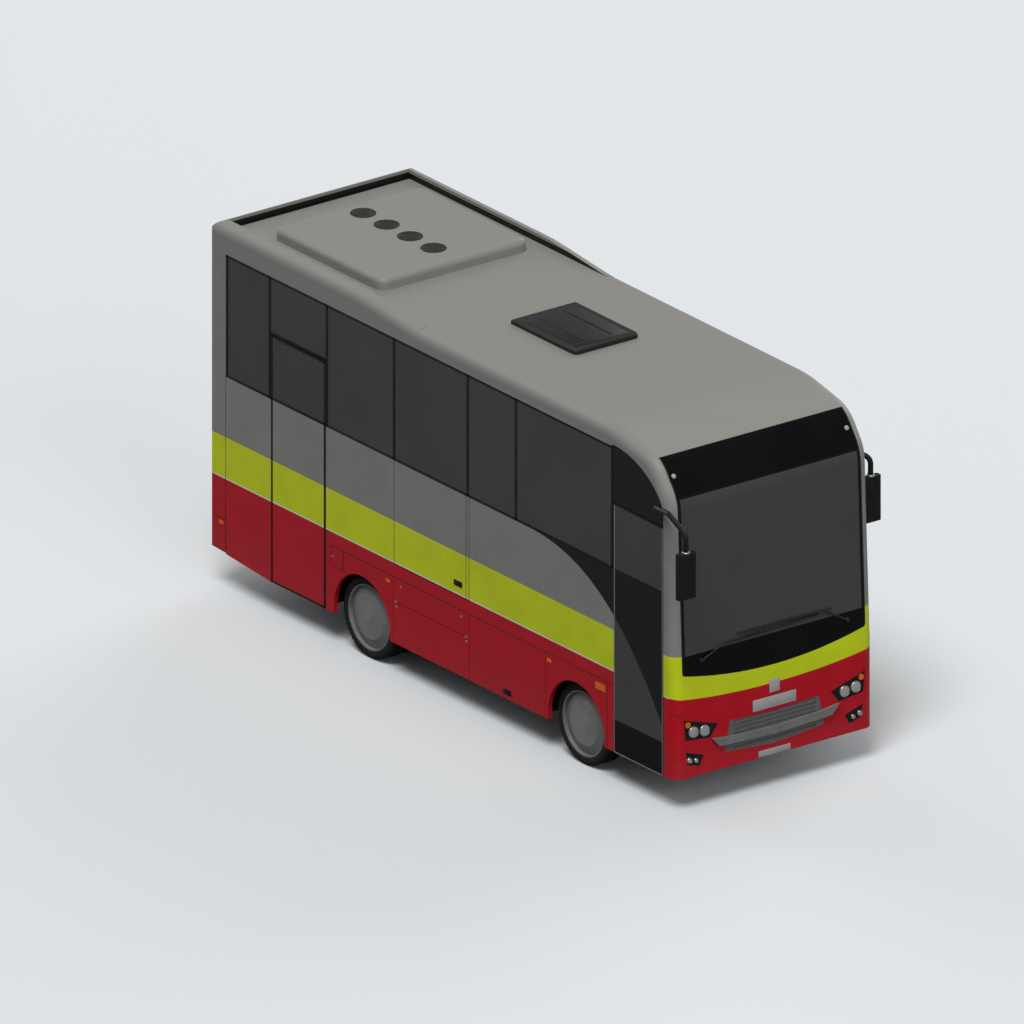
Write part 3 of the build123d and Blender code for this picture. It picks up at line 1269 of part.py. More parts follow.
WHEEL_RING = 215
RING_RADIUS = 14
with BuildPart() as steering_wheel:
    with BuildSketch(Plane(origin=COLUMN_TOP, x_dir=column_direction, z_dir=(0, -1, 0))):
        with Locations((30, WHEEL_RING)):
            Circle(RING_RADIUS)
    revolve(axis=Axis(COLUMN_TOP, column_direction))
    with BuildSketch(wheel_face.offset(-2 * PIN_RADIUS + PIN_CLEARANCE)):
        Circle(50)
    extrude(amount=40)
    with BuildSketch(wheel_face.offset(22)):
        with PolarLocations(WHEEL_RING / 2, 3, start_angle=90):
            Rectangle(WHEEL_RING, 26)
    extrude(amount=14)
steering_wheel.part.label = "steering_wheel"
export_step(steering_wheel.part, "parts/steering_wheel.step")

POLE_RADIUS = 17
POLES = [(REAR_DOOR[1] + 60, WELL_Y[1] + 40), (FRONT_DOOR[0] - 90, WELL_Y[1] + 40)]
with BuildPart() as grab_poles:
    with BuildSketch(Plane.XY.offset(FLOOR_HEIGHT)):
        with Locations(*[(at(distance), y) for distance, y in POLES]):
            Circle(POLE_RADIUS)
    extrude(amount=ROOF_HEIGHT - FLOOR_HEIGHT)
    add(INNER_FORM, mode=Mode.INTERSECT)
grab_poles.part.label = "grab_poles"
export_step(grab_poles.part, "parts/grab_poles.step")
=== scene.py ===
# %% [markdown]
# # Dressing a midi passenger bus
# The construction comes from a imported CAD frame: every panel, pane, wheel and hinge is already at
# its real size. This lesson adds what the eye reads first: paint with its bands, tinted glass,
# rubber, lamps, seams and seats. Everything is in metres, with X forward, Y to the bus's left and
# Z up from the ground.

# %% Load the frame
import math

import bmesh
import bpy
from mathutils import Matrix, Vector


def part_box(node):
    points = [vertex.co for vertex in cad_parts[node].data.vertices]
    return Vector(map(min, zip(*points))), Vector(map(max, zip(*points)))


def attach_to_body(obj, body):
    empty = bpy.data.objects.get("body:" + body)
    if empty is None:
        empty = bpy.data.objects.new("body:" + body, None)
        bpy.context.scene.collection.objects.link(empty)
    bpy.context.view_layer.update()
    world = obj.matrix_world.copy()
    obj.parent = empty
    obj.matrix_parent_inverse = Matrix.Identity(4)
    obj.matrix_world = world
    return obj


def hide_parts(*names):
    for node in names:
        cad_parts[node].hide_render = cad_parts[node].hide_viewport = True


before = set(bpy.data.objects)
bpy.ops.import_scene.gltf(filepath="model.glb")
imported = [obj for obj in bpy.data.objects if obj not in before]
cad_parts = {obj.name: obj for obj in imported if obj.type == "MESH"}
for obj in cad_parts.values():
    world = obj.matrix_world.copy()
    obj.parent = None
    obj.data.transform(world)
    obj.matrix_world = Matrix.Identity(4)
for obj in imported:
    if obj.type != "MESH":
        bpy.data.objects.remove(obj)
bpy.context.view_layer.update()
SCENE = bpy.context.scene

# %% [markdown]
# ## Landmarks
# A designer places details from the panels that carry them, so the few numbers that repeat are
# read from the frame's own boxes. A distance along the bus is given from the rear panel, as on a
# body drawing.

# %% Landmarks of the body
RIGHT, LEFT = -1, 1
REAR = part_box("rear_wall")[0].x
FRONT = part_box("front_panel")[1].x
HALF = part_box("right_wall")[0].y * -1
ROOF_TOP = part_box("roof")[1].z


def at(distance):
    """The X of a point measured forward from the rear panel."""
    return REAR + distance


print("rear", round(REAR, 3), "front", round(FRONT, 3), "half width", round(HALF, 3))

# %% [markdown]
# ## The camera
# The photograph is a parallel projection, so the camera is orthographic: no perspective to match,
# only two angles, one scale and the point it looks at. Azimuth turns from the bus's right side
# towards its front.

# %% Camera at the photograph's angle
AZIMUTH = math.radians(53.09)
ELEVATION = math.radians(21.89)
VIEW_WIDTH = 9.184
LOOK_AT = Vector((at(3.012), 0.0, 1.400))
CAMERA_DISTANCE = 30.0

toward_camera = Vector(
    (
        math.sin(AZIMUTH) * math.cos(ELEVATION),
        -math.cos(AZIMUTH) * math.cos(ELEVATION),
        math.sin(ELEVATION),
    )
)
camera_data = bpy.data.cameras.new("camera")
camera_data.type = "ORTHO"
camera_data.ortho_scale = VIEW_WIDTH
camera_data.clip_end = 200.0
camera = bpy.data.objects.new("camera", camera_data)
camera.location = LOOK_AT + toward_camera * CAMERA_DISTANCE
camera.rotation_euler = toward_camera.to_track_quat("Z", "Y").to_euler()
SCENE.collection.objects.link(camera)
SCENE.camera = camera
print("camera looks at", [round(v, 3) for v in LOOK_AT])

# %% [markdown]
# ## Helpers for materials
# Colours are written as sRGB hex, as a paint chart gives them, and one function turns them to the
# linear values that the renderer works in. One more function adds any node with its settings and
# links.


# %% Colour and node helpers
def linear(hex_colour):
    """An sRGB hex colour as linear red, green and blue, with an alpha of one."""
    values = [int(hex_colour[i : i + 2], 16) / 255 for i in (1, 3, 5)]
    bent = [v / 12.92 if v <= 0.04045 else ((v + 0.055) / 1.055) ** 2.4 for v in values]
    return (*bent, 1.0)


def node(tree, kind, settings=None, **links):
    """Add a node, set its properties, and link or set each named input."""
    made = tree.nodes.new(kind)
    for name, value in (settings or {}).items():
        setattr(made, name, value)
    for name, value in links.items():
        key = int(name[1:]) if name[0] == "i" and name[1:].isdigit() else name.replace("_", " ")
        socket = made.inputs[key]
        if isinstance(value, bpy.types.NodeSocket):
            tree.links.new(value, socket)
        else:
            socket.default_value = value
    return made


def new_material(name, **surface):
    """A material with one Principled shader, its sockets set, ready for its pattern nodes."""
    material = bpy.data.materials.new(name)
    material.use_nodes = True
    tree = material.node_tree
    shader = tree.nodes["Principled BSDF"]
    for key, value in surface.items():
        shader.inputs[key.replace("_", " ")].default_value = value
    return material, tree, shader


def attach(tree, shader, **patterns):
    """Link patterns to the shader's own sockets."""
    for key, value in patterns.items():
        tree.links.new(value, shader.inputs[key.replace("_", " ")])


def place(tree):
    """Where a point lies on the object, in metres, as a vector and its three parts."""
    coordinates = node(tree, "ShaderNodeTexCoord")
    parts = node(tree, "ShaderNodeSeparateXYZ", Vector=coordinates.outputs["Object"])
    return coordinates.outputs["Object"], parts.outputs["X"], parts.outputs["Y"], parts.outputs["Z"]


def noise(tree, vector, size, detail=2.0):
    """A noise whose grain is about the given size in metres."""
    made = node(tree, "ShaderNodeTexNoise", Vector=vector, Scale=1.0 / size, Detail=detail)
    return made.outputs["Fac"]


def maths(tree, operation, first, second=0.0):
    """One step of arithmetic between sockets or numbers."""
    made = node(tree, "ShaderNodeMath", {"operation": operation}, i0=first, i1=second)
    return made.outputs["Value"]


def times(tree, first, second):
    """The product of two values."""
    return maths(tree, "MULTIPLY", first, second)


def more(tree, value, limit):
    """One where a value is over a limit, and nought elsewhere."""
    return maths(tree, "GREATER_THAN", value, limit)


def less(tree, value, limit):
    """One where a value is under a limit, and nought elsewhere."""
    return maths(tree, "LESS_THAN", value, limit)


def mix(tree, factor, first, second):
    """A mix of two colours, each a socket or an sRGB hex colour."""
    first, second = (linear(c) if isinstance(c, str) else c for c in (first, second))
    made = node(tree, "ShaderNodeMix", {"data_type": "RGBA"}, i0=factor, i6=first, i7=second)
    return made.outputs[2]


def ramp(tree, value, low, high, dark, bright):
    """A value turned to a number that runs from dark to bright between two limits."""
    limits = {"From_Min": low, "From_Max": high, "To_Min": dark, "To_Max": bright}
    return node(tree, "ShaderNodeMapRange", Value=value, **limits).outputs["Result"]


def bumped(tree, shader, height, strength, distance):
    """Raise the shader's surface by a pattern."""
    bump = node(tree, "ShaderNodeBump", Height=height, Strength=strength, Distance=distance)
    attach(tree, shader, Normal=bump.outputs["Normal"])


# %% [markdown]
# ## The paint
# Bus paint is a two-part polyurethane enamel, sprayed and left glossy. The eye gets three things
# from it: a broad soft gloss, the faint orange peel of the spray, and road film that dulls it
# towards the skirts. The bands run round the whole body, so one material works the colour out
# from where a point lies, and every panel that the bands cross shares it. That keeps each band
# level across doors, lids and corners. Band heights are above the ground.

# %% Painted bands
SILVER = "#7c7b79"
LIME = "#b8c616"
RED = "#a9051b"
BAND_WHITE = "#cfcfc8"
GLOSS_BLACK = "#080808"
ROAD_FILM = "#6d675c"
# Roof colour for faces that look up: settled dust together with painted top light.
ROOF_DUST_AND_TOP_LIGHT = "#838078"
RED_TOP = 1.10
LIME_TOP = 1.50
PINSTRIPE = 0.012
NOSE_START = FRONT - 0.14
STRIPE_END = NOSE_START + 0.06
NOSE_DIP = 0.085
NOSE_CURVE = 2.2
SWEEP_START = at(4.57)
SWEEP_END = at(6.78)
SWEEP_FALL = 1.34
SWEEP_CURVE = 2.6
WINDOW_FOOT = 2.10
WINDOW_TOP = 3.26
BAND_FRONT = at(6.0)
CORNER = at(6.765)
ORANGE_PEEL = 0.008
DUST_TOP = 0.75


def paint_finish(tree, shader, spot, height, colour):
    """Gloss enamel over a colour: orange peel, a little cloudiness and road film low down."""
    cloud = ramp(tree, noise(tree, spot, 0.35), 0.3, 0.7, 0.94, 1.03)
    value = node(tree, "ShaderNodeHueSaturation", Value=cloud, Color=colour)
    film = noise(tree, spot, 0.12, 4.0)
    dust = times(tree, film, ramp(tree, height, 0.30, DUST_TOP, 0.12, 0.0))
    dusty = mix(tree, dust, value.outputs["Color"], ROAD_FILM)
    rough = maths(tree, "ADD", ramp(tree, film, 0.3, 0.7, 0.26, 0.34), dust)
    attach(tree, shader, Base_Color=dusty, Roughness=rough)
    bumped(tree, shader, noise(tree, spot, ORANGE_PEEL, 1.0), 0.02, 0.0001)


def between(tree, value, low, high):
    """One where a value lies between two limits, and nought elsewhere."""
    return times(tree, more(tree, value, low), less(tree, value, high))


def above_sweep(tree, x, z):
    """One above the black sweep's lower edge, which falls ever faster towards the front door."""
    run = ramp(tree, x, SWEEP_START, SWEEP_END, 0.0, 1.0)
    fall = times(tree, maths(tree, "POWER", run, SWEEP_CURVE), SWEEP_FALL)
    return more(tree, z, maths(tree, "SUBTRACT", WINDOW_FOOT - 0.01, fall))


def banded_enamel():
    """Silver-grey enamel with the lime and red bands, and the black sweep under the windows."""
    material, tree, shader = new_material(
        "banded_polyurethane_enamel", Coat_Weight=0.08, Coat_Roughness=0.15, Specular_IOR_Level=0.25
    )
    spot, x, y, z = place(tree)
    away = maths(tree, "ABSOLUTE", y)
    on_nose = more(tree, x, NOSE_START)
    spread = maths(tree, "MINIMUM", maths(tree, "DIVIDE", away, HALF), 1.0)
    bow = maths(tree, "SUBTRACT", 1.0, maths(tree, "POWER", spread, NOSE_CURVE))
    dip = times(tree, bow, on_nose)
    red_edge = maths(tree, "SUBTRACT", RED_TOP, times(tree, dip, NOSE_DIP))
    off_stripe = maths(tree, "ABSOLUTE", maths(tree, "SUBTRACT", z, red_edge))
    colour = mix(tree, more(tree, z, red_edge), RED, LIME)
    stripe = times(tree, less(tree, off_stripe, PINSTRIPE / 2), less(tree, x, STRIPE_END))
    colour = mix(tree, stripe, colour, BAND_WHITE)
    colour = mix(tree, more(tree, z, LIME_TOP), colour, SILVER)
    in_sweep = times(tree, above_sweep(tree, x, z), between(tree, x, SWEEP_START, CORNER))
    in_sweep = times(tree, in_sweep, less(tree, z, WINDOW_FOOT + 0.01))
    colour = mix(tree, in_sweep, colour, GLOSS_BLACK)
    on_side = more(tree, away, HALF - 0.05)
    in_rows = between(tree, z, WINDOW_FOOT - 0.004, WINDOW_TOP + 0.004)
    band = times(tree, in_rows, between(tree, x, at(0.236), BAND_FRONT))
    over_door = more(tree, z, WINDOW_FOOT - 0.004)
    quarter = times(tree, over_door, between(tree, x, BAND_FRONT - 0.001, CORNER))
    black = times(tree, maths(tree, "MAXIMUM", band, quarter), on_side)
    colour = mix(tree, black, colour, GLOSS_BLACK)
    paint_finish(tree, shader, spot, z, colour)
    return material


ENAMEL = banded_enamel()
print("enamel bands: red to", RED_TOP, "lime to", LIME_TOP)


# %% [markdown]
# ## The other finishes
# Each one starts from what the real surface is. Gel-coated glass fibre on the roof is flatter
# than enamel. Gloss black trim is acrylic. Tinted glass is toughened, grey through its body.
# Tyres are carbon-black rubber. Chassis black is a thick satin coat, and the wheel covers are
# silver-painted steel.


# %% Gel coat, black acrylic and glass
COAMING_INNER = HALF - 0.115
RIM = 0.030
HAIR = 0.0005


def gel_coat(name, black_inside):
    """Roof gel coat: soft gloss, dust and painted top light where faces look up, black inside the
    coaming if asked.
    """
    material, tree, shader = new_material(name, Roughness=0.45, Specular_IOR_Level=0.25)
    spot, x, y, z = place(tree)
    geometry = node(tree, "ShaderNodeNewGeometry")
    facing = node(tree, "ShaderNodeSeparateXYZ", Vector=geometry.outputs["Normal"])
    # Faces that look up are painted lighter: partly settled dust, partly painted top light, in patches.
    up_faces_dust_and_light = ramp(tree, facing.outputs["Z"], 0.2, 0.9, 0.0, 0.85)
    patches = ramp(tree, noise(tree, spot, 0.5, 4.0), 0.35, 0.75, 0.75, 1.0)
    dust = times(tree, up_faces_dust_and_light, patches)
    colour = mix(tree, dust, SILVER, ROOF_DUST_AND_TOP_LIGHT)
    if black_inside:
        within = less(tree, maths(tree, "ABSOLUTE", y), COAMING_INNER + HAIR)
        ahead = more(tree, x, REAR + HALF - COAMING_INNER - HAIR)
        below = less(tree, z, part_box("roof_coaming")[1].z - RIM)
        inner = times(tree, times(tree, within, ahead), below)
        colour = mix(tree, inner, colour, "#0d0d0d")
    attach(tree, shader, Base_Color=colour)
    bumped(tree, shader, noise(tree, spot, 0.03, 2.0), 0.03, 0.0008)
    return material


def gloss_acrylic():
    """Black acrylic panels round the screen and on the front door."""
    material, tree, shader = new_material("gloss_black_acrylic", Specular_IOR_Level=0.15)
    spot = place(tree)[0]
    smear = ramp(tree, noise(tree, spot, 0.2, 3.0), 0.3, 0.7, 0.12, 0.22)
    cloud = ramp(tree, noise(tree, spot, 0.6), 0.3, 0.7, 0.0, 1.0)
    colour = mix(tree, cloud, "#070708", "#0b0b0b")
    attach(tree, shader, Base_Color=colour, Roughness=smear)
    return material


def tinted_glass(name, tint, clear, frit):
    """Toughened glass, grey all through, wavy from the furnace and printed black where frit says."""
    material, tree, shader = new_material(name, IOR=1.5, Specular_IOR_Level=0.3)
    spot, x, y, z = place(tree)
    cloud = ramp(tree, noise(tree, spot, 0.8), 0.3, 0.7, 0.0, 1.0)
    printed = frit(tree, x, y, z)
    colour = mix(tree, cloud, tint, "#4b4b49")
    colour = mix(tree, printed, colour, GLOSS_BLACK)
    through = times(tree, maths(tree, "SUBTRACT", 1.0, printed), clear)
    film = ramp(tree, noise(tree, spot, 0.25, 3.0), 0.35, 0.7, 0.08, 0.14)
    attach(tree, shader, Base_Color=colour, Transmission_Weight=through, Roughness=film)
    bumped(tree, shader, noise(tree, spot, 0.3, 1.0), 0.03, 0.002)
    return material


def side_frit(tree, x, y, z):
    """The quarter panes beside the driver are printed black all over."""
    on_side = more(tree, maths(tree, "ABSOLUTE", y), HALF - 0.05)
    return times(tree, more(tree, x, BAND_FRONT), on_side)


def screen_frit(tree, x, y, z):
    """A black border down both sides of the windscreen and along its top."""
    return maths(
        tree,
        "MAXIMUM",
        more(tree, maths(tree, "ABSOLUTE", y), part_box("windscreen")[1].y - 0.03),
        more(tree, z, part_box("windscreen")[1].z - 0.02),
    )


def door_frit(tree, x, y, z):
    """The front door's lower pane is printed black above the sweep that crosses it."""
    below = less(tree, z, WINDOW_FOOT - 0.01)
    return times(tree, above_sweep(tree, x, z), below)


GEL_COAT = gel_coat("grey_gel_coat", False)
COAMING_COAT = gel_coat("coaming_gel_coat", True)
ACRYLIC = gloss_acrylic()
SIDE_GLASS = tinted_glass("tinted_toughened_glass", "#434341", 0.3, side_frit)
SCREEN_GLASS = tinted_glass("laminated_screen_glass", "#464644", 0.3, screen_frit)
DOOR_GLASS = tinted_glass("door_toughened_glass", "#434341", 0.3, door_frit)
print("gel coats, acrylic and glasses made")


# %% Rubber, steel, plastics, cloth and lenses
def grained(name, dark, light, grain, rough, bump=0.1, lift=0.0003, **surface):
    """A surface whose colour, gloss and relief follow one fine grain."""
    material, tree, shader = new_material(name, **{"Specular_IOR_Level": 0.25, **surface})
    spot = place(tree)[0]
    fine = noise(tree, spot, grain, 3.0)
    broad = noise(tree, spot, grain * 40, 2.0)
    colour = mix(tree, ramp(tree, broad, 0.35, 0.65, 0.0, 1.0), dark, light)
    attach(tree, shader, Base_Color=colour, Roughness=ramp(tree, fine, 0.3, 0.7, *rough))
    bumped(tree, shader, fine, bump, lift)
    return material


RUBBER = grained("carbon_black_rubber", "#141414", "#1e1d1c", 0.006, (0.72, 0.9), 0.15)
WHEEL_PAINT = grained("silver_wheel_enamel", "#6f6f6f", "#7a7a79", 0.004, (0.38, 0.48), 0.05)
CHASSIS_BLACK = grained("satin_chassis_black", "#141416", "#232220", 0.008, (0.45, 0.65), 0.12)
SHEET_STEEL = grained("zinc_primed_sheet", "#34353a", "#3d3c3a", 0.01, (0.5, 0.65), 0.08)
BARE_STEEL = grained(
    "brushed_stainless_steel", "#9a9a98", "#b4b3af", 0.002, (0.25, 0.4), 0.04, Metallic=1.0
)
ALUMINISED = grained(
    "aluminised_steel", "#6f6c66", "#7d7468", 0.004, (0.42, 0.6), 0.08, Metallic=1.0
)
CAST_IRON = grained("cast_iron", "#2c2b2a", "#393633", 0.003, (0.6, 0.75), 0.3, Metallic=0.4)
MOULDED_BLACK = grained("moulded_black_abs", "#0b0b0b", "#101011", 0.0015, (0.42, 0.55), 0.12)
MOULDED_GREY = grained("moulded_grey_abs", "#565655", "#5d5d5c", 0.0015, (0.45, 0.55), 0.1)
DASH_GREY = grained("slush_moulded_vinyl", "#2c2c2d", "#333334", 0.0015, (0.55, 0.7), 0.15)
BAR_GREY = grained("satin_grey_bar", "#666665", "#6e6e6d", 0.002, (0.32, 0.42), 0.05)
VINYL_FLOOR = grained("speckled_vinyl_floor", "#34363a", "#474a4e", 0.003, (0.5, 0.65), 0.1)
GRAB_YELLOW = grained("yellow_powder_coat", "#c9a312", "#d6b01d", 0.002, (0.35, 0.45), 0.06)
BLANK_WHITE = grained("blank_plate_enamel", "#929191", "#999897", 0.003, (0.3, 0.4), 0.04)
SATIN_SILVER = grained(
    "satin_anodised_aluminium", "#a5a5a3", "#b3b2b0", 0.002, (0.3, 0.42), 0.04, Metallic=0.9
)
AMBER = grained(
    "amber_acrylic_lens", "#c8590c", "#d8660f", 0.01, (0.12, 0.2), 0.04, Coat_Weight=0.4
)
RED_LENS = grained(
    "red_acrylic_lens", "#8c0a10", "#a00d14", 0.01, (0.12, 0.2), 0.04, Coat_Weight=0.4
)
LAMP_GLASS = grained(
    "pearly_lamp_glass", "#8c8d8c", "#969796", 0.01, (0.28, 0.36), 0.05, Coat_Weight=0.1
)
HATCH_BLACK = grained("dark_smoked_acrylic", "#1b1a19", "#201f1d", 0.004, (0.4, 0.52), 0.05)
FAN_DARK = grained("fan_mesh_black", "#2f2e2a", "#363430", 0.002, (0.55, 0.7), 0.1)
WIPER_BLACK = grained("satin_wiper_enamel", "#1d1d1e", "#242425", 0.003, (0.45, 0.6), 0.06)
SEAL_RUBBER = grained("extruded_seal_rubber", "#0d0d0e", "#131313", 0.003, (0.5, 0.65), 0.08)
MIRROR_GLASS = grained(
    "silvered_mirror_glass", "#c3c7c9", "#cdd0d1", 0.05, (0.02, 0.05), 0.01, Metallic=1.0
)


def painted_bead():
    """Joint sealant, sprayed with each band of the body and darker for the dust it holds."""
    material, tree, shader = new_material(
        "oversprayed_joint_sealant", Roughness=0.7, Specular_IOR_Level=0.2
    )
    spot, _, _, z = place(tree)
    over_red = more(tree, z, RED_TOP)
    over_lime = more(tree, z, LIME_TOP)
    colour = mix(tree, over_red, "#4d1014", "#646b1c")
    colour = mix(tree, over_lime, colour, "#4a4a49")
    grime = ramp(tree, noise(tree, spot, 0.05, 3.0), 0.3, 0.7, 0.0, 0.4)
    colour = mix(tree, grime, colour, "#2b2a28")
    attach(tree, shader, Base_Color=colour)
    bumped(tree, shader, noise(tree, spot, 0.004, 2.0), 0.1, 0.0002)
    return material


SEALANT = painted_bead()


def seat_cloth():
    """Wool moquette: a looped pile, so it has a sheen at grazing angles and a fine crossed rib."""
    material, tree, shader = new_material(
        "wool_moquette", Roughness=0.95, Sheen_Weight=0.4, Sheen_Roughness=0.5
    )
    spot, x, y, z = place(tree)
    rib = 0.006
    across = maths(tree, "SINE", times(tree, y, 2 * math.pi / rib))
    along = maths(tree, "SINE", times(tree, maths(tree, "ADD", x, z), 2 * math.pi / rib))
    weave = times(tree, across, along)
    fleck = maths(tree, "ADD", times(tree, weave, 0.3), noise(tree, spot, 0.02, 3.0))
    colour = mix(tree, ramp(tree, fleck, 0.2, 0.9, 0.0, 1.0), "#2a3244", "#4a566e")
    attach(tree, shader, Base_Color=colour)
    bumped(tree, shader, weave, 0.25, 0.001)
    return material


MOQUETTE = seat_cloth()
print("finishes:", len(bpy.data.materials))

# %% [markdown]
# ## Dress the CAD nodes
# Most CAD pieces already have the right shape, so they only need the right finish in their
# material slots.

# %% Which finish each CAD node gets
FINISHES = {
    ENAMEL: (
        "right_wall left_wall rear_wall rear_door boot_lid skirts bumpers front_panel fuel_flap "
        "front_pillars right_rear_locker_lid right_front_locker_lid left_rear_locker_lid "
        "left_front_locker_lid"
    ),
    GEL_COAT: "roof air_conditioner",
    COAMING_COAT: "roof_coaming",
    ACRYLIC: "screen_panels front_door",
    SIDE_GLASS: "windows rear_door_glass",
    DOOR_GLASS: "front_door_glass",
    SCREEN_GLASS: "windscreen",
    RUBBER: "right_front_tyre left_front_tyre right_rear_tyre left_rear_tyre",
    WHEEL_PAINT: "right_front_rim left_front_rim right_rear_rim left_rear_rim",
    CHASSIS_BLACK: "chassis_frame axles leaf_springs right_knuckle left_knuckle",
    SHEET_STEEL: "steps lockers fuel_tank",
    ALUMINISED: "silencer",
    CAST_IRON: "engine_block",
    GRAB_YELLOW: "grab_poles",
    MOULDED_BLACK: (
        "lamp_housings mirrors wipers wheel_housings steering_wheel steering_column hinge_pins"
    ),
    HATCH_BLACK: "roof_hatch",
    MOULDED_GREY: "grille",
    DASH_GREY: "dashboard",
    BAR_GREY: "grille_bar",
    FAN_DARK: "fan_guards",
    VINYL_FLOOR: "floor",
    MOQUETTE: "seats",
    AMBER: "amber_lamps",
    RED_LENS: "tail_lamps",
    LAMP_GLASS: "headlamps",
}


def dress(name, material):
    """Put one finish into every material slot of a CAD node."""
    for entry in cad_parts[name].material_slots:
        entry.link = "OBJECT"
        entry.material = material


for finish, names in FINISHES.items():
    for name in names.split():
        dress(name, finish)
print("dressed", sum(len(names.split()) for names in FINISHES.values()), "nodes")

# %% [markdown]
# ## Helpers for shapes
# Small parts are built as meshes. A bar is a length of trim with rounded-over edges, a lathe
# turns a profile, and a ribbon is a thin strip laid on the body by looking for its surface from
# outside, so it follows corners.


# %% Shape helpers
SHARP_ANGLE = 35


def piece(name, bm, material, body, replaces=()):
    """Turn a working mesh into a named piece that rides on a CAD body."""
    bmesh.ops.remove_doubles(bm, verts=bm.verts, dist=1e-6)
    bmesh.ops.recalc_face_normals(bm, faces=bm.faces)
    mesh = bpy.data.meshes.new(name)
    bm.to_mesh(mesh)
    bm.free()
    mesh.materials.append(material)
    mesh.shade_smooth()
    mesh.set_sharp_from_angle(angle=math.radians(SHARP_ANGLE))
    made = bpy.data.objects.new(name, mesh)
    SCENE.collection.objects.link(made)
    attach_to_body(made, body)
    if replaces:
        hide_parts(*replaces)
    return made


def bar(bm, first, last, round_over=0.0015):
    """A straight bar between two opposite corners, its edges rounded over."""
    low = Vector([min(a, b) for a, b in zip(first, last)])
    high = Vector([max(a, b) for a, b in zip(first, last)])
    where = Matrix.Translation((low + high) / 2) @ Matrix.Diagonal((*(high - low), 1.0))
    made = bmesh.ops.create_cube(bm, size=1.0, matrix=where)
    edges = list({edge for vertex in made["verts"] for edge in vertex.link_edges})
    bmesh.ops.bevel(bm, geom=edges, offset=round_over, segments=2, profile=0.5, affect="EDGES")


def band(bm, ring, following):
    """The faces between two closed rings of corners."""
    for k in range(len(ring)):
        beyond = (k + 1) % len(ring)
        bm.faces.new((ring[k], ring[beyond], following[beyond], following[k]))


def lathe(bm, profile, centre, axis, steps=48):
    """A turned form from pairs of radius and height, about an axis through its centre."""
    turn = Vector(axis).to_track_quat("Z", "Y").to_matrix()
    rings = []
    for step in range(steps):
        angle = 2 * math.pi * step / steps
        across = Vector((math.cos(angle), math.sin(angle), 0))
        spots = [Vector(centre) + turn @ (across * r + Vector((0, 0, h))) for r, h in profile]
        rings.append([bm.verts.new(spot) for spot in spots])
    for ring, following in zip(rings, rings[1:] + rings[:1]):
        for k in range(len(profile) - 1):
            bm.faces.new((ring[k], following[k], following[k + 1], ring[k + 1]))


def islands(name):
    """The lowest and highest corners of each separate solid in a CAD node."""
    bm = bmesh.new()
    bm.from_mesh(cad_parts[name].data)
    bmesh.ops.remove_doubles(bm, verts=bm.verts, dist=1e-5)
    left, boxes = set(bm.verts), []
    while left:
        group, waiting = set(), [left.pop()]
        while waiting:
            vertex = waiting.pop()
            group.add(vertex)
            near = {other for edge in vertex.link_edges for other in edge.verts} & left
            left -= near
            waiting.extend(near)
        low = Vector([min(v.co[k] for v in group) for k in range(3)])
        high = Vector([max(v.co[k] for v in group) for k in range(3)])
        boxes.append((low, high))
    bm.free()
    return sorted(boxes, key=lambda box: tuple(round(v, 3) for v in box[0]))


def surface(names, start, direction):
    """The nearest point and outward normal of some CAD nodes, seen from a start along a direction."""
    hits = []
    for name in names:
        hit, spot, normal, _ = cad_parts[name].ray_cast(Vector(start), Vector(direction))
        if hit:
            outward = normal if normal.dot(Vector(direction)) < 0 else -normal
            hits.append(((spot - Vector(start)).length, spot, outward))
    return min(hits, key=lambda found: found[0])[1:] if hits else None


def along(first, last, steps=2):
    """Evenly spaced points from one end of a line to the other."""
    return [Vector(first).lerp(Vector(last), step / (steps - 1)) for step in range(steps)]


def ribbon(bm, names, path, direction, width=0.006, lift=0.0008):
    """A thin strip on the CAD surface below a path, with its edges let into the surface."""
    hits = [found for found in (surface(names, spot, direction) for spot in path) if found]
    section = ((-1.0, -0.0006), (-0.7, lift), (0.7, lift), (1.0, -0.0006))
    rows = []
    for index, (spot, normal) in enumerate(hits):
        ahead = hits[min(index + 1, len(hits) - 1)][0] - hits[max(index - 1, 0)][0]
        across = normal.cross(ahead).normalized() * width / 2
        rows.append([bm.verts.new(spot + across * side + normal * height) for side, height in section])
    for row, following in zip(rows, rows[1:]):
        band(bm, row, following)
    if rows:
        bm.faces.new(rows[0])
        bm.faces.new(rows[-1])


bpy.context.view_layer.update()
print("solids in seats:", len(islands("seats")))

# %% [markdown]
# ## Seams
# A coach body is pop-riveted panels with a bead of sealant in each joint. The beads are thin and
# dark, and the eye uses them to read the panels. A bead that crosses a lid rides on that lid.
# Each seam on a side runs between two spots, given as distance from the rear panel and height.

# %% Panel seams
SEAM = 0.008
FLOOR_SEAM = 0.962
SKIRT_SEAM = 0.705
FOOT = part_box("skirts")[0].z
SHELL = ["right_wall", "left_wall", "skirts", "bumpers", "rear_wall"]
SIDE_SEAMS = [
    ((0.23, 0.42), (0.23, 2.088)),
    ((0.035, SKIRT_SEAM), (0.23, SKIRT_SEAM)),
    ((2.745, 1.085), (2.745, 2.085)),
    ((3.820, 1.085), (3.820, 2.085)),
    ((3.865, 1.085), (3.865, 2.085)),
    ((2.745, 1.085), (3.865, 1.085)),
    ((5.020, FLOOR_SEAM), (6.010, FLOOR_SEAM)),
    ((5.925, FOOT + 0.005), (5.925, FLOOR_SEAM)),
]
AFTER_REAR_DOOR = ((1.800, FLOOR_SEAM), (2.725, FLOOR_SEAM))
ALONG_LEFT = ((0.240, FLOOR_SEAM), (2.725, FLOOR_SEAM))
CORNER_SEAM = ((1.112, 0.963), (1.020, 0.888))


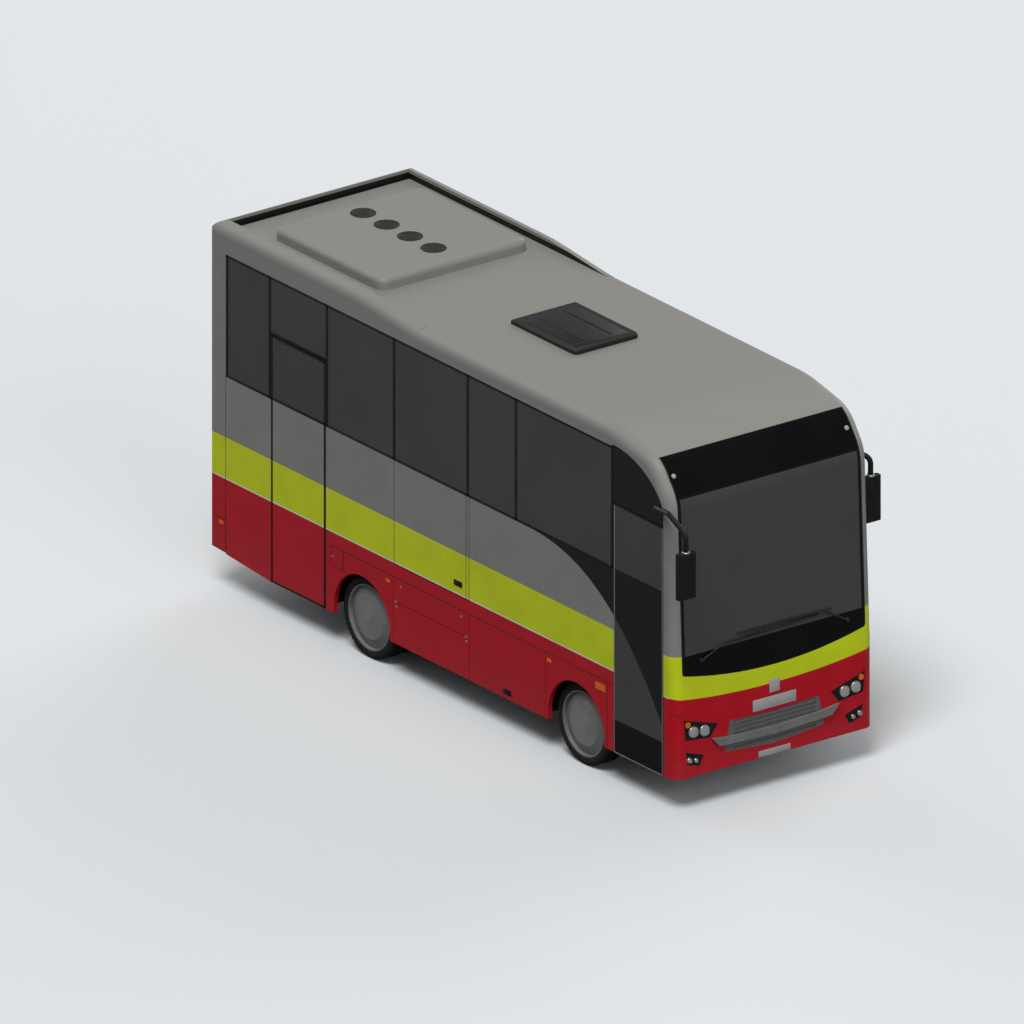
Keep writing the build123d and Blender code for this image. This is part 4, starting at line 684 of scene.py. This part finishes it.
def side_bead(bm, side, start, end):
    """A thin bead of sealant on the flat of a side, level or upright."""
    half = SEAM / 2
    near = (at(min(start[0], end[0]) - half), side * (HALF - 0.002), min(start[1], end[1]) - half)
    far = (at(max(start[0], end[0]) + half), side * (HALF + 0.0009), max(start[1], end[1]) + half)
    bar(bm, near, far, 0.0004)


bm = bmesh.new()
for side in (RIGHT, LEFT):
    for start, end in [*SIDE_SEAMS, AFTER_REAR_DOOR if side == RIGHT else ALONG_LEFT]:
        side_bead(bm, side, start, end)
across_rear = along((REAR - 0.2, -HALF + 0.03, SKIRT_SEAM), (REAR - 0.2, HALF - 0.03, SKIRT_SEAM))
ribbon(bm, SHELL, across_rear, (1, 0, 0), SEAM)
for side in (RIGHT, LEFT):
    ends = [(FRONT + 0.2, side * y, z) for y, z in CORNER_SEAM]
    ribbon(bm, ["front_panel", "bumpers"], along(*ends, 10), (-1, 0, 0), SEAM)
piece("panel_seams", bm, SEALANT, "chassis")

LID_SEAM = 0.725
for side, name in ((RIGHT, "right"), (LEFT, "left")):
    lid = f"{name}_rear_locker_lid"
    low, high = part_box(lid)
    bm = bmesh.new()
    side_bead(bm, side, (low.x - REAR + 0.012, LID_SEAM), (high.x - REAR - 0.012, LID_SEAM))
    piece(f"{lid}_seam", bm, SEALANT, lid)
print("seams laid")

# %% [markdown]
# ## Rubber seals
# Each pane is bonded behind a rubber gasket that stands a few millimetres proud, and the doors
# have bulb seals round their edges. They are what draws the window grid.

# %% Window gaskets
GASKET = 0.034
PROUD = 0.003
WINDOW_ROW = (0.235, 6.010)
DOORWAY = (0.902, 1.728)
POSTS = (WINDOW_ROW[0] + GASKET / 2, 0.889, 1.741, 2.745, 3.845, 4.565, 6.000)
REAR_DOOR_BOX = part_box("rear_door")
DOOR_HEAD = REAR_DOOR_BOX[1].z + 0.006
SILL = (WINDOW_FOOT - 0.012, WINDOW_FOOT + 0.010)


def side_bar(bm, side, x, z, proud=PROUD, round_over=0.0015):
    """A bar on the side skin between two distances from the rear and two heights."""
    near = (at(x[0]), side * (HALF - 0.003), z[0])
    bar(bm, near, (at(x[1]), side * (HALF + proud), z[1]), round_over)


for side, name in ((RIGHT, "right"), (LEFT, "left")):
    bm = bmesh.new()
    for post in POSTS:
        x = (post - GASKET / 2, post + GASKET / 2)
        side_bar(bm, side, x, (WINDOW_FOOT - 0.008, WINDOW_TOP + 0.006))
    side_bar(bm, side, WINDOW_ROW, (WINDOW_TOP - 0.012, WINDOW_TOP + 0.008))
    if side == RIGHT:
        side_bar(bm, side, (WINDOW_ROW[0], DOORWAY[0]), SILL)
        side_bar(bm, side, (DOORWAY[1], WINDOW_ROW[1]), SILL)
        side_bar(bm, side, DOORWAY, (DOOR_HEAD + 0.002, DOOR_HEAD + 0.026))
    else:
        side_bar(bm, side, WINDOW_ROW, SILL)
    piece(f"{name}_window_gaskets", bm, SEAL_RUBBER, "chassis")

PANE_HALF, PANE_FOOT, PANE_TOP = 0.85, 2.15, 3.05
PANE_SEAL = 0.012
bm = bmesh.new()
for y in (-PANE_HALF, PANE_HALF):
    near = (REAR - PROUD, y - PANE_SEAL, PANE_FOOT - PANE_SEAL)
    bar(bm, near, (REAR + 0.002, y + PANE_SEAL, PANE_TOP + PANE_SEAL))
for z in (PANE_FOOT, PANE_TOP):
    near = (REAR - PROUD, -PANE_HALF, z - PANE_SEAL)
    bar(bm, near, (REAR + 0.002, PANE_HALF, z + PANE_SEAL))
piece("rear_window_gasket", bm, SEAL_RUBBER, "chassis")

SCREEN_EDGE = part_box("windscreen")[1].y
bm = bmesh.new()
for side in (RIGHT, LEFT):
    ends = [(FRONT + 0.4, side * SCREEN_EDGE, z) for z in (1.33, ROOF_TOP - 0.14)]
    around = ["windscreen", "front_pillars", "screen_panels", "roof"]
    ribbon(bm, around, along(*ends, 40), (-1, 0, 0), 0.016, 0.0025)
piece("windscreen_gasket", bm, SEAL_RUBBER, "chassis")

# %% Door seals and edge trims
SEAL_WIDTH = 0.022
low, high = REAR_DOOR_BOX
door = (low.x - REAR + 0.001, high.x - REAR - 0.001)
levels = (
    (low.z + 0.001, low.z + 0.020),
    (WINDOW_FOOT - 0.012, WINDOW_FOOT + 0.012),
    (high.z - SEAL_WIDTH, high.z),
)
bm = bmesh.new()
for x in ((door[0], door[0] + SEAL_WIDTH), (door[1] - SEAL_WIDTH, door[1])):
    side_bar(bm, RIGHT, x, (low.z + 0.002, high.z - 0.002))
for z in levels:
    side_bar(bm, RIGHT, door, z)
piece("rear_door_seals", bm, SEAL_RUBBER, "rear_door")

low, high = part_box("front_door")
door = (low.x - REAR + 0.0005, high.x - REAR - 0.0005)
TRIM = 0.011
LOWER_PANE_FOOT = (0.632, 0.646)
bm = bmesh.new()
side_bar(bm, RIGHT, (door[0], door[0] + TRIM), (low.z + 0.001, high.z - 0.02))
side_bar(bm, RIGHT, (door[1] - TRIM, door[1]), (low.z + 0.001, high.z - 0.02))
side_bar(bm, RIGHT, door, (low.z + 0.0005, low.z + 0.012))
piece("front_door_edge_trim", bm, SATIN_SILVER, "front_door")
bm = bmesh.new()
side_bar(bm, RIGHT, door, (high.z - 0.018, high.z - 0.001))
inside = (door[0] + TRIM, door[1] - TRIM)
side_bar(bm, RIGHT, inside, (WINDOW_FOOT - 0.02, WINDOW_FOOT + 0.002))
side_bar(bm, RIGHT, inside, LOWER_PANE_FOOT)
piece("front_door_seals", bm, SEAL_RUBBER, "front_door")
print("seals fitted")

# %% [markdown]
# ## Locks and handles
# The lockers turn on pins along their top edge and lock with small quarter-turn latches. The pull
# handles are black mouldings with a bezel and a paddle.

# %% Handles, locks and latches
LOCK = [(0.0, 0.0035), (0.004, 0.0035), (0.0045, 0.002)]
LOCK += [(0.009, 0.003), (0.0115, 0.002), (0.0125, -0.001)]
HANDLE_HEIGHT = 0.055
WALL_HANDLE = ((3.700, 1.200), 0.125)
LOCKER_HANDLE = ((4.435, 0.385), 0.115)
UPPER_LOCKS = ((2.845, 0.895), (3.740, 0.895))
LATCHES = (2.775, 3.825)
LATCH_HALF = (0.020, 0.012)
FUEL_LOCK = (1.825, 0.865)


def side_handle(bm, side, middle, width):
    """A moulded pull handle on a side panel: a bezel with a paddle inside it."""
    x, z = middle
    half_x, half_z = width / 2, HANDLE_HEIGHT / 2
    paddle_x = (x - half_x * 0.82, x + half_x * 0.82)
    side_bar(bm, side, (x - half_x, x + half_x), (z - half_z, z + half_z), 0.004, 0.003)
    side_bar(bm, side, paddle_x, (z - half_z * 0.1, z + half_z * 0.72), 0.011, 0.004)


def side_lock(bm, side, middle):
    """A round barrel lock with its keyway ring."""
    lathe(bm, LOCK, (at(middle[0]), side * HALF, middle[1]), (0, side, 0), 24)


bm = bmesh.new()
for side in (RIGHT, LEFT):
    side_handle(bm, side, *WALL_HANDLE)
piece("wall_handles", bm, MOULDED_BLACK, "chassis")
for side, name in ((RIGHT, "right"), (LEFT, "left")):
    bm = bmesh.new()
    side_handle(bm, side, *LOCKER_HANDLE)
    piece(f"{name}_front_locker_handle", bm, MOULDED_BLACK, f"{name}_front_locker_lid")
    bm = bmesh.new()
    for spot in UPPER_LOCKS:
        side_lock(bm, side, spot)
    for x in LATCHES:
        plate_x = (x - LATCH_HALF[0], x + LATCH_HALF[0])
        plate_z = (LID_SEAM - LATCH_HALF[1], LID_SEAM + LATCH_HALF[1])
        side_bar(bm, side, plate_x, plate_z, 0.005, 0.003)
        side_lock(bm, side, (x, LID_SEAM - 0.045))
    piece(f"{name}_rear_locker_locks", bm, BARE_STEEL, f"{name}_rear_locker_lid")
bm = bmesh.new()
side_lock(bm, RIGHT, FUEL_LOCK)
piece("fuel_flap_lock", bm, BARE_STEEL, "fuel_flap")

# %% Rear lid furniture
LID_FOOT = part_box("boot_lid")[0].z


def lid_plate(bm, half, foot, top, proud, round_over):
    """A flat moulding in the middle of the rear lid, its heights measured from the lid's foot."""
    near = (REAR - proud, -half, LID_FOOT + foot)
    bar(bm, near, (REAR + 0.001, half, LID_FOOT + top), round_over)


bm = bmesh.new()
lid_plate(bm, 0.11, 0.045, 0.115, 0.004, 0.003)
lid_plate(bm, 0.09, 0.075, 0.105, 0.011, 0.004)
piece("boot_lid_handle", bm, MOULDED_BLACK, "boot_lid")
bm = bmesh.new()
lid_plate(bm, 0.26, 0.240, 0.350, 0.005, 0.002)
piece("rear_plate_blank", bm, BLANK_WHITE, "boot_lid")
bm = bmesh.new()
for side in (RIGHT, LEFT):
    bar(bm, (REAR - 0.006, side * 0.90, 0.560), (REAR + 0.001, side * 0.99, 0.595), 0.003)
piece("rear_reflectors", bm, RED_LENS, "chassis")
print("handles, locks and plates fitted")

# %% [markdown]
# ## The face of the bus
# Round lamps sit in black housings: each gets a bright bezel and a domed lens. The name panel,
# the badge place and both plates are left blank.

# %% Lamp bezels, lenses and blank panels
BEZEL = ((0.0005, 0.0), (0.001, 0.010), (0.003, 0.011), (0.006, 0.006), (0.007, -0.002))
DOME_FOOT, DOME_RISE = 0.007, 0.005
bm_bezel, bm_lens = bmesh.new(), bmesh.new()
for low, high in islands("headlamps"):
    radius = (high.y - low.y) / 2
    centre = (FRONT + 0.001, (low.y + high.y) / 2, (low.z + high.z) / 2)
    lathe(bm_bezel, [(radius + out, rise) for out, rise in BEZEL], centre, (1, 0, 0), 40)
    turns = [math.radians(turn) for turn in range(0, 91, 15)]
    dome = [(radius * math.cos(turn), DOME_FOOT + DOME_RISE * math.sin(turn)) for turn in turns]
    lathe(bm_lens, dome, centre, (1, 0, 0), 40)
piece("lamp_bezels", bm_bezel, SATIN_SILVER, "chassis")
piece("lamp_lenses", bm_lens, LAMP_GLASS, "chassis")

NAME_PANEL = (0.242, 0.780, 0.890, 0.005, 0.003)
LOWER_PLATE = (0.177, 0.325, 0.385, 0.005, 0.002)
BADGE_PLACE = (0.058, 0.925, 1.052, 0.008, 0.006)
bm = bmesh.new()
for half, foot, top, proud, round_over in (NAME_PANEL, LOWER_PLATE, BADGE_PLACE):
    bar(bm, (FRONT - 0.002, -half, foot), (FRONT + proud, half, top), round_over)
piece("blank_front_panels", bm, BLANK_WHITE, "chassis")

MARKER_Y = 0.97
MARKER_Z = ROOF_TOP - 0.285
MARKER_LENS = [(0.024, -0.004), (0.023, 0.003), (0.018, 0.008), (0.010, 0.011), (0.0, 0.012)]
bm = bmesh.new()
for side in (RIGHT, LEFT):
    start = (FRONT + 0.4, side * MARKER_Y, MARKER_Z)
    spot, outward = surface(["screen_panels", "roof"], start, (-1, 0, 0))
    lathe(bm, MARKER_LENS, spot, outward, 28)
piece("brow_marker_lenses", bm, LAMP_GLASS, "chassis")

# %% [markdown]
# ## Wipers
# A pantograph wiper is a tapered arm from a spindle on the cowl, and a long blade that it
# carries: a thin steel spine over a rubber lip. Each run is a strip that follows the screen,
# found by looking at it from the front.

# %% Wiper arms and blades
ARM, ROD, BLADE = 0.020, 0.014, 0.024
WIPER_RUNS = [
    ((-0.820, 1.422), (-0.565, 1.526), ARM),
    ((-0.565, 1.526), (-0.100, 1.543), ROD),
    ((-0.565, 1.520), (0.504, 1.548), BLADE),
    ((0.820, 1.420), (0.560, 1.566), ARM),
    ((0.560, 1.566), (0.150, 1.584), ROD),
    ((-0.411, 1.580), (0.640, 1.572), BLADE),
]
SPINDLES = ((-0.820, 1.422), (0.820, 1.420))
SPINDLE = [(0.022, -0.004), (0.022, 0.012), (0.018, 0.026), (0.008, 0.030), (0.0, 0.030)]
UNDER_ARMS = ["windscreen", "front_pillars", "front_panel", "screen_panels"]
UNDER_SPINDLES = ["front_panel", "screen_panels", "windscreen"]
bm = bmesh.new()
for (y0, z0), (y1, z1), thick in WIPER_RUNS:
    blade = thick == BLADE
    steps = 16 if blade else 8
    foot, top = (0.003, 0.016) if blade else (0.012, 0.024)
    middle = (foot + top) / 2
    rise = Vector((0, z0 - z1, y1 - y0)).normalized() * (1 if y1 > y0 else -1)
    rows = []
    for step in range(steps + 1):
        share = step / steps
        start = (FRONT + 0.3, y0 + (y1 - y0) * share, z0 + (z1 - z0) * share)
        found = surface(UNDER_ARMS, start, (-1, 0, 0))
        if not found:
            continue
        taper = 1 - 0.35 * abs(2 * share - 1) ** 4 if blade else 1 - 0.25 * share
        half = thick / 2 * taper
        section = [(-half / 2, foot), (half / 2, foot), (half, middle)]
        section += [(half / 2, top), (-half / 2, top), (-half, middle)]
        spots = [found[0] + rise * across + Vector((out, 0, 0)) for across, out in section]
        rows.append([bm.verts.new(spot) for spot in spots])
    for row, following in zip(rows, rows[1:]):
        band(bm, row, following)
    bm.faces.new(rows[0])
    bm.faces.new(rows[-1])
for y, z in SPINDLES:
    spot = surface(UNDER_SPINDLES, (FRONT + 0.3, y, z), (-1, 0, 0))[0]
    lathe(bm, SPINDLE, spot, (1, 0, 0), 28)
piece("wiper_sets", bm, WIPER_BLACK, "chassis", ["wipers"])

# %% [markdown]
# ## Tyres
# Each tyre is turned from its section, with four drainage grooves round the tread and slots
# across the shoulders. The radius and the width come from the CAD tyre that it stands for.


# %% Tyres with tread
SIDEWALL = [(0.082, 0.016), (0.074, 0.007), (0.068, 0.006), (0.066, 0.003), (0.045, 0.0005)]
SIDEWALL += [(0.030, 0.001), (0.016, 0.006), (0.006, 0.014), (0.0015, 0.022)]
GROOVES = (0.058, 0.019)
GROOVE = ((0.005, 0.001), (0.004, 0.010), (-0.004, 0.010), (-0.005, 0.001))
SLOTS = 48
SLOT_DEPTH = 0.006
SHOULDER = 0.065
TREAD_DEPTH = 0.02


def tyre_section(half, radius):
    """Radius and offset pairs across a tyre, from one bead over the tread to the other."""
    outer = [(radius - below, half - inward) for below, inward in SIDEWALL]
    outer += [(radius - depth, middle + offset) for middle in GROOVES for offset, depth in GROOVE]
    return outer + [(radius - 0.0005, 0.0)] + [(r, -offset) for r, offset in reversed(outer)]


def tyre_ring(bm, middle, section, radius, angle, slotted):
    """One ring of a tyre's corners at an angle, sunk at the shoulders where a slot runs."""
    ring = []
    for r, offset in section:
        sunk = slotted and r > radius - TREAD_DEPTH and abs(offset) > SHOULDER
        reach = r - (SLOT_DEPTH if sunk else 0.0)
        out = Vector((reach * math.cos(angle), offset, reach * math.sin(angle)))
        ring.append(bm.verts.new(middle + out))
    return ring


for name in ("right_front", "left_front", "right_rear", "left_rear"):
    bm = bmesh.new()
    for low, high in islands(f"{name}_tyre"):
        radius = (high.x - low.x) / 2
        section = tyre_section((high.y - low.y) / 2, radius)
        rings = []
        for step in range(SLOTS * 3):
            angle = 2 * math.pi * step / (SLOTS * 3)
            rings.append(tyre_ring(bm, (low + high) / 2, section, radius, angle, step % 3 == 0))
        for ring, following in zip(rings, rings[1:] + rings[:1]):
            band(bm, ring, following)
    body = f"{name}_wheel" if "front" in name else f"{name}_wheels"
    piece(f"{name}_tread_tyre", bm, RUBBER, body, [f"{name}_tyre"])
print("tyres turned")

# %% [markdown]
# ## Roof fittings and mirrors
# The cooler's fans sit behind wire guards: rings welded to spokes over a dark throat. The mirror
# heads get silvered glass on the face that looks back.

# %% Fan guards, hatch panel and mirror glass
GUARD_FLANGE = 1.12
GUARD_RINGS = 6
GUARD_SPOKES = 6
WIRE = ((-0.0025, 0.0015), (-0.0012, 0.0052), (0.0012, 0.0052), (0.0025, 0.0015))
FLANGE = ((0.0, 0.001), (0.96, 0.001), (0.98, 0.0045), (1.0, 0.0045), (1.0, -0.001))
SPOKE_HALF, SPOKE_FOOT, SPOKE_TOP = 0.003, 0.0012, 0.0056
bm = bmesh.new()
for low, high in islands("fan_guards"):
    reach = (high.x - low.x) / 2 * GUARD_FLANGE
    middle = Vector(((low.x + high.x) / 2, (low.y + high.y) / 2, low.z))
    lathe(bm, [(reach * share, rise) for share, rise in FLANGE], middle, (0, 0, 1), 48)
    for ring in range(1, GUARD_RINGS):
        wire = [(reach * ring / GUARD_RINGS + out, rise) for out, rise in WIRE]
        lathe(bm, wire, middle, (0, 0, 1), 48)
    for spoke in range(GUARD_SPOKES):
        turn = Matrix.Rotation(2 * math.pi * spoke / GUARD_SPOKES, 3, "Z")
        corners = [(0.0, -SPOKE_HALF), (reach, -SPOKE_HALF), (reach, SPOKE_HALF), (0.0, SPOKE_HALF)]
        foot = [bm.verts.new(middle + turn @ Vector((x, y, SPOKE_FOOT))) for x, y in corners]
        head = [bm.verts.new(middle + turn @ Vector((x, y, SPOKE_TOP))) for x, y in corners]
        bm.faces.new(head)
        band(bm, foot, head)
piece("fan_guard_grids", bm, FAN_DARK, "chassis", ["fan_guards"])

PANEL_INSET, RIB_INSET = 0.07, 0.12
low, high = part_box("roof_hatch")
bm = bmesh.new()
near = (low.x + PANEL_INSET, low.y + PANEL_INSET, high.z - 0.004)
bar(bm, near, (high.x - PANEL_INSET, high.y - PANEL_INSET, high.z + 0.004), 0.0035)
for share in (0.30, 0.70):
    y = low.y + (high.y - low.y) * share
    near = (low.x + RIB_INSET, y - 0.012, high.z)
    bar(bm, near, (high.x - RIB_INSET, y + 0.012, high.z + 0.009), 0.004)
piece("roof_hatch_ribs", bm, HATCH_BLACK, "roof_hatch")

HEAD_DEPTH = 0.080
HEAD_OUT = 0.100
GLASS_HALF = 0.083
GLASS_PANES = ((0.020, 0.110), (0.122, 0.410))
CLAMP = [(0.026, -0.002), (0.036, 0.0), (0.038, 0.012), (0.034, 0.018), (0.026, 0.020)]
CLAMP_RISE = 0.430
bm_glass, bm_clamp = bmesh.new(), bmesh.new()
for low, high in islands("mirrors"):
    head_y = (RIGHT if low.y < 0 else LEFT) * (HALF + HEAD_OUT)
    back = high.x - HEAD_DEPTH
    for foot, top in GLASS_PANES:
        near = (back - 0.003, head_y - GLASS_HALF, low.z + foot)
        bar(bm_glass, near, (back + 0.001, head_y + GLASS_HALF, low.z + top))
    lathe(bm_clamp, CLAMP, (back + HEAD_DEPTH / 2, head_y, low.z + CLAMP_RISE), (0, 0, 1), 32)
piece("mirror_glass", bm_glass, MIRROR_GLASS, "chassis")
piece("mirror_clamps", bm_clamp, SATIN_SILVER, "chassis")
print("roof and mirrors done")

# %% [markdown]
# ## Seats
# Each CAD seat is one side-view outline on a pedestal. Its place and size say where the finer
# seat goes: a moulded shell on a steel leg, with a cushion and a raked back for each passenger.
# A pad is a crowned closed form. Its sides pull in between the corners, and two sewn channels
# run across it.


# %% One upholstered pad
def upholstered(u, v, w):
    """Where a point of a cube's skin goes on a pad: rounded, crowned, waisted, with two channels."""
    shrink = (abs(u) ** 6 + abs(v) ** 6 + abs(w) ** 6) ** (-1 / 6)
    u, v, w = u * shrink, v * shrink, w * shrink
    crown = (1 - u * u) * (1 - v * v)
    pull = 0.035 * (1 - v * v) * abs(u) ** 3
    channel = sum(math.exp(-(((v - line) / 0.05) ** 2)) for line in (-0.38, 0.38))
    depth = w * (0.78 + 0.22 * crown) - (0.16 * channel * (1 - u**8) if w > 0.4 else 0.0)
    return u - math.copysign(pull, u), v * (1 - 0.03 * (1 - u * u)), depth


def pad(bm, centre, axes, size, cuts=14):
    """A cushion on three axes, width, length and thickness, from a cube's skin cut into a grid."""
    shared = {}

    def corner(cell):
        if cell not in shared:
            spot = upholstered(*(2 * step / cuts - 1 for step in cell))
            shared[cell] = bm.verts.new(
                Vector(centre) + sum((axes[k] * spot[k] * size[k] / 2 for k in range(3)), Vector())
            )
        return shared[cell]

    for flat in range(3):
        for level in (0, cuts):
            for a in range(cuts):
                for b in range(cuts):
                    cells = []
                    for da, db in ((0, 0), (1, 0), (1, 1), (0, 1)):
                        cell = [a + da, b + db]
                        cell.insert(flat, level)
                        cells.append(corner(tuple(cell)))
                    bm.faces.new(cells)


# %% Seats with their shells and legs
ACROSS = Vector((0, 1, 0))
CUSHION_TILT = math.radians(4)
LEVEL = Vector((math.cos(CUSHION_TILT), 0, math.sin(CUSHION_TILT)))
OVER = Vector((-LEVEL.z, 0, LEVEL.x))
PLACE_WIDTH = 0.42
SIDE_GAP = 0.01
PAD_GAP = 0.006
BASE_DROP = 0.800
CUSHION = (0.415, 0.090)
BACKREST = (0.640, 0.075)
SHELL_BACK = ((0.0, 0.0), (0.775, 0.0), (0.775, 0.018), (0.0, 0.018))
bm_shell = bmesh.new()
pads_made = 0
for number, (low, high) in enumerate(islands("seats"), 1):
    base = high.z - BASE_DROP
    heel = Vector((low.x + 0.130, 0, base))
    rake = (Vector((low.x, 0, high.z - 0.020)) - heel).normalized()
    forward = Vector((rake.z, 0, -rake.x))
    spine = heel + rake * 0.450 + forward * 0.058
    sides = (low.y + SIDE_GAP, high.y - SIDE_GAP)
    places = max(1, round((high.y - low.y) / PLACE_WIDTH))
    width = (sides[1] - sides[0]) / places
    bm = bmesh.new()
    for place_number in range(places):
        y = sides[0] + width * (place_number + 0.5)
        cushion_size, back_size = (width - PAD_GAP, *CUSHION), (width - PAD_GAP, *BACKREST)
        pad(bm, (heel.x + 0.228, y, base + 0.062), (ACROSS, LEVEL, OVER), cushion_size)
        pad(bm, (spine.x, y, spine.z), (ACROSS, rake, forward), back_size)
        pads_made += 2
    cushion = piece(f"seat_pads_{number:02d}", bm, MOQUETTE, "chassis", ["seats"])
    bar(bm_shell, (heel.x, sides[0], base), (high.x - 0.005, sides[1], base + 0.022), 0.008)
    back = [heel + rake * reach + forward * depth for reach, depth in SHELL_BACK]
    rings = [[bm_shell.verts.new((spot.x, edge, spot.z)) for spot in back] for edge in sides]
    band(bm_shell, *rings)
    for ring in rings:
        bm_shell.faces.new(ring)
    leg = [(0.0, 0.0), (0.060, 0.0), (0.060, 0.006), (0.022, 0.012), (0.022, base - low.z)]
    for share in (0.3, 0.7) if places > 1 else (0.5,):
        leg_y = low.y + (high.y - low.y) * share
        lathe(bm_shell, leg, (heel.x + 0.215, leg_y, low.z), (0, 0, 1), 24)
piece("seat_shells", bm_shell, DASH_GREY, "chassis", ["seats"])
print("pads made:", pads_made)

# %% [markdown]
# ## Instruments
# Two round dials stand on the dashboard, side by side ahead of the steering wheel, and lean back
# towards the driver.

# %% Dials
DIAL = [(0.058, -0.002), (0.058, 0.012), (0.052, 0.014), (0.050, 0.006), (0.0, 0.006)]
DIAL_OFFSET = 0.075
low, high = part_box("steering_wheel")
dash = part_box("dashboard")
start = (dash[0].x + 0.075, (low.y + high.y) / 2, dash[1].z + 0.3)
spot = surface(["dashboard"], start, (0, 0, -1))[0]
bm = bmesh.new()
for offset in (-DIAL_OFFSET, DIAL_OFFSET):
    lathe(bm, DIAL, spot + Vector((0, offset, 0)), (-0.45, 0, 1), 36)
piece("instrument_dials", bm, MOULDED_BLACK, "chassis")

# %% [markdown]
# ## The stage
# A plain pale floor with soft studio light. The lamps are broad, so edges stay readable, and
# their level is kept low enough that a colour renders about as it is written. The floor is pale
# to the camera and through glass, and darker to every other ray, so that it doesn't throw a glow
# up on the skirts.

# %% Floor, lamps and world
FLOOR_REACH = 400.0
floor_mesh = bpy.data.meshes.new("studio_floor")
floor_mesh.from_pydata(
    [(x * FLOOR_REACH, y * FLOOR_REACH, -0.001) for x, y in ((-1, -1), (1, -1), (1, 1), (-1, 1))],
    [],
    [(0, 1, 2, 3)],
)
studio_floor = bpy.data.objects.new("studio_floor", floor_mesh)
SCENE.collection.objects.link(studio_floor)
floor_finish, floor_tree, floor_shader = new_material("pale_studio_floor", Roughness=0.9)
seen = node(floor_tree, "ShaderNodeLightPath")
shown = maths(floor_tree, "MAXIMUM", seen.outputs["Is Camera Ray"], seen.outputs["Is Transmission Ray"])
floor_colour = mix(floor_tree, shown, "#6f7172", "#cfd2d4")
attach(floor_tree, floor_shader, Base_Color=floor_colour)
floor_mesh.materials.append(floor_finish)


def sun(name, toward, power, spread):
    """A broad distant lamp that shines from a direction."""
    data = bpy.data.lights.new(name, "SUN")
    data.energy = power
    data.angle = math.radians(spread)
    lamp = bpy.data.objects.new(name, data)
    lamp.rotation_euler = Vector(toward).to_track_quat("Z", "Y").to_euler()
    SCENE.collection.objects.link(lamp)


sun("key_light", (0.45, -0.62, 1.40), 2.4, 25)
sun("front_light", (1.0, -0.10, 0.40), 0.9, 40)
sun("left_light", (-0.35, 1.0, 0.45), 1.0, 40)
sun("rear_light", (-1.0, -0.1, 0.35), 0.8, 40)
world = bpy.data.worlds.new("studio_world")
world.use_nodes = True
SCENE.world = world
world_shader = world.node_tree.nodes["Background"]
world_shader.inputs["Color"].default_value = linear("#c4c8cc")
world_shader.inputs["Strength"].default_value = 0.4
SCENE.view_settings.view_transform = "Standard"
print("stage set")
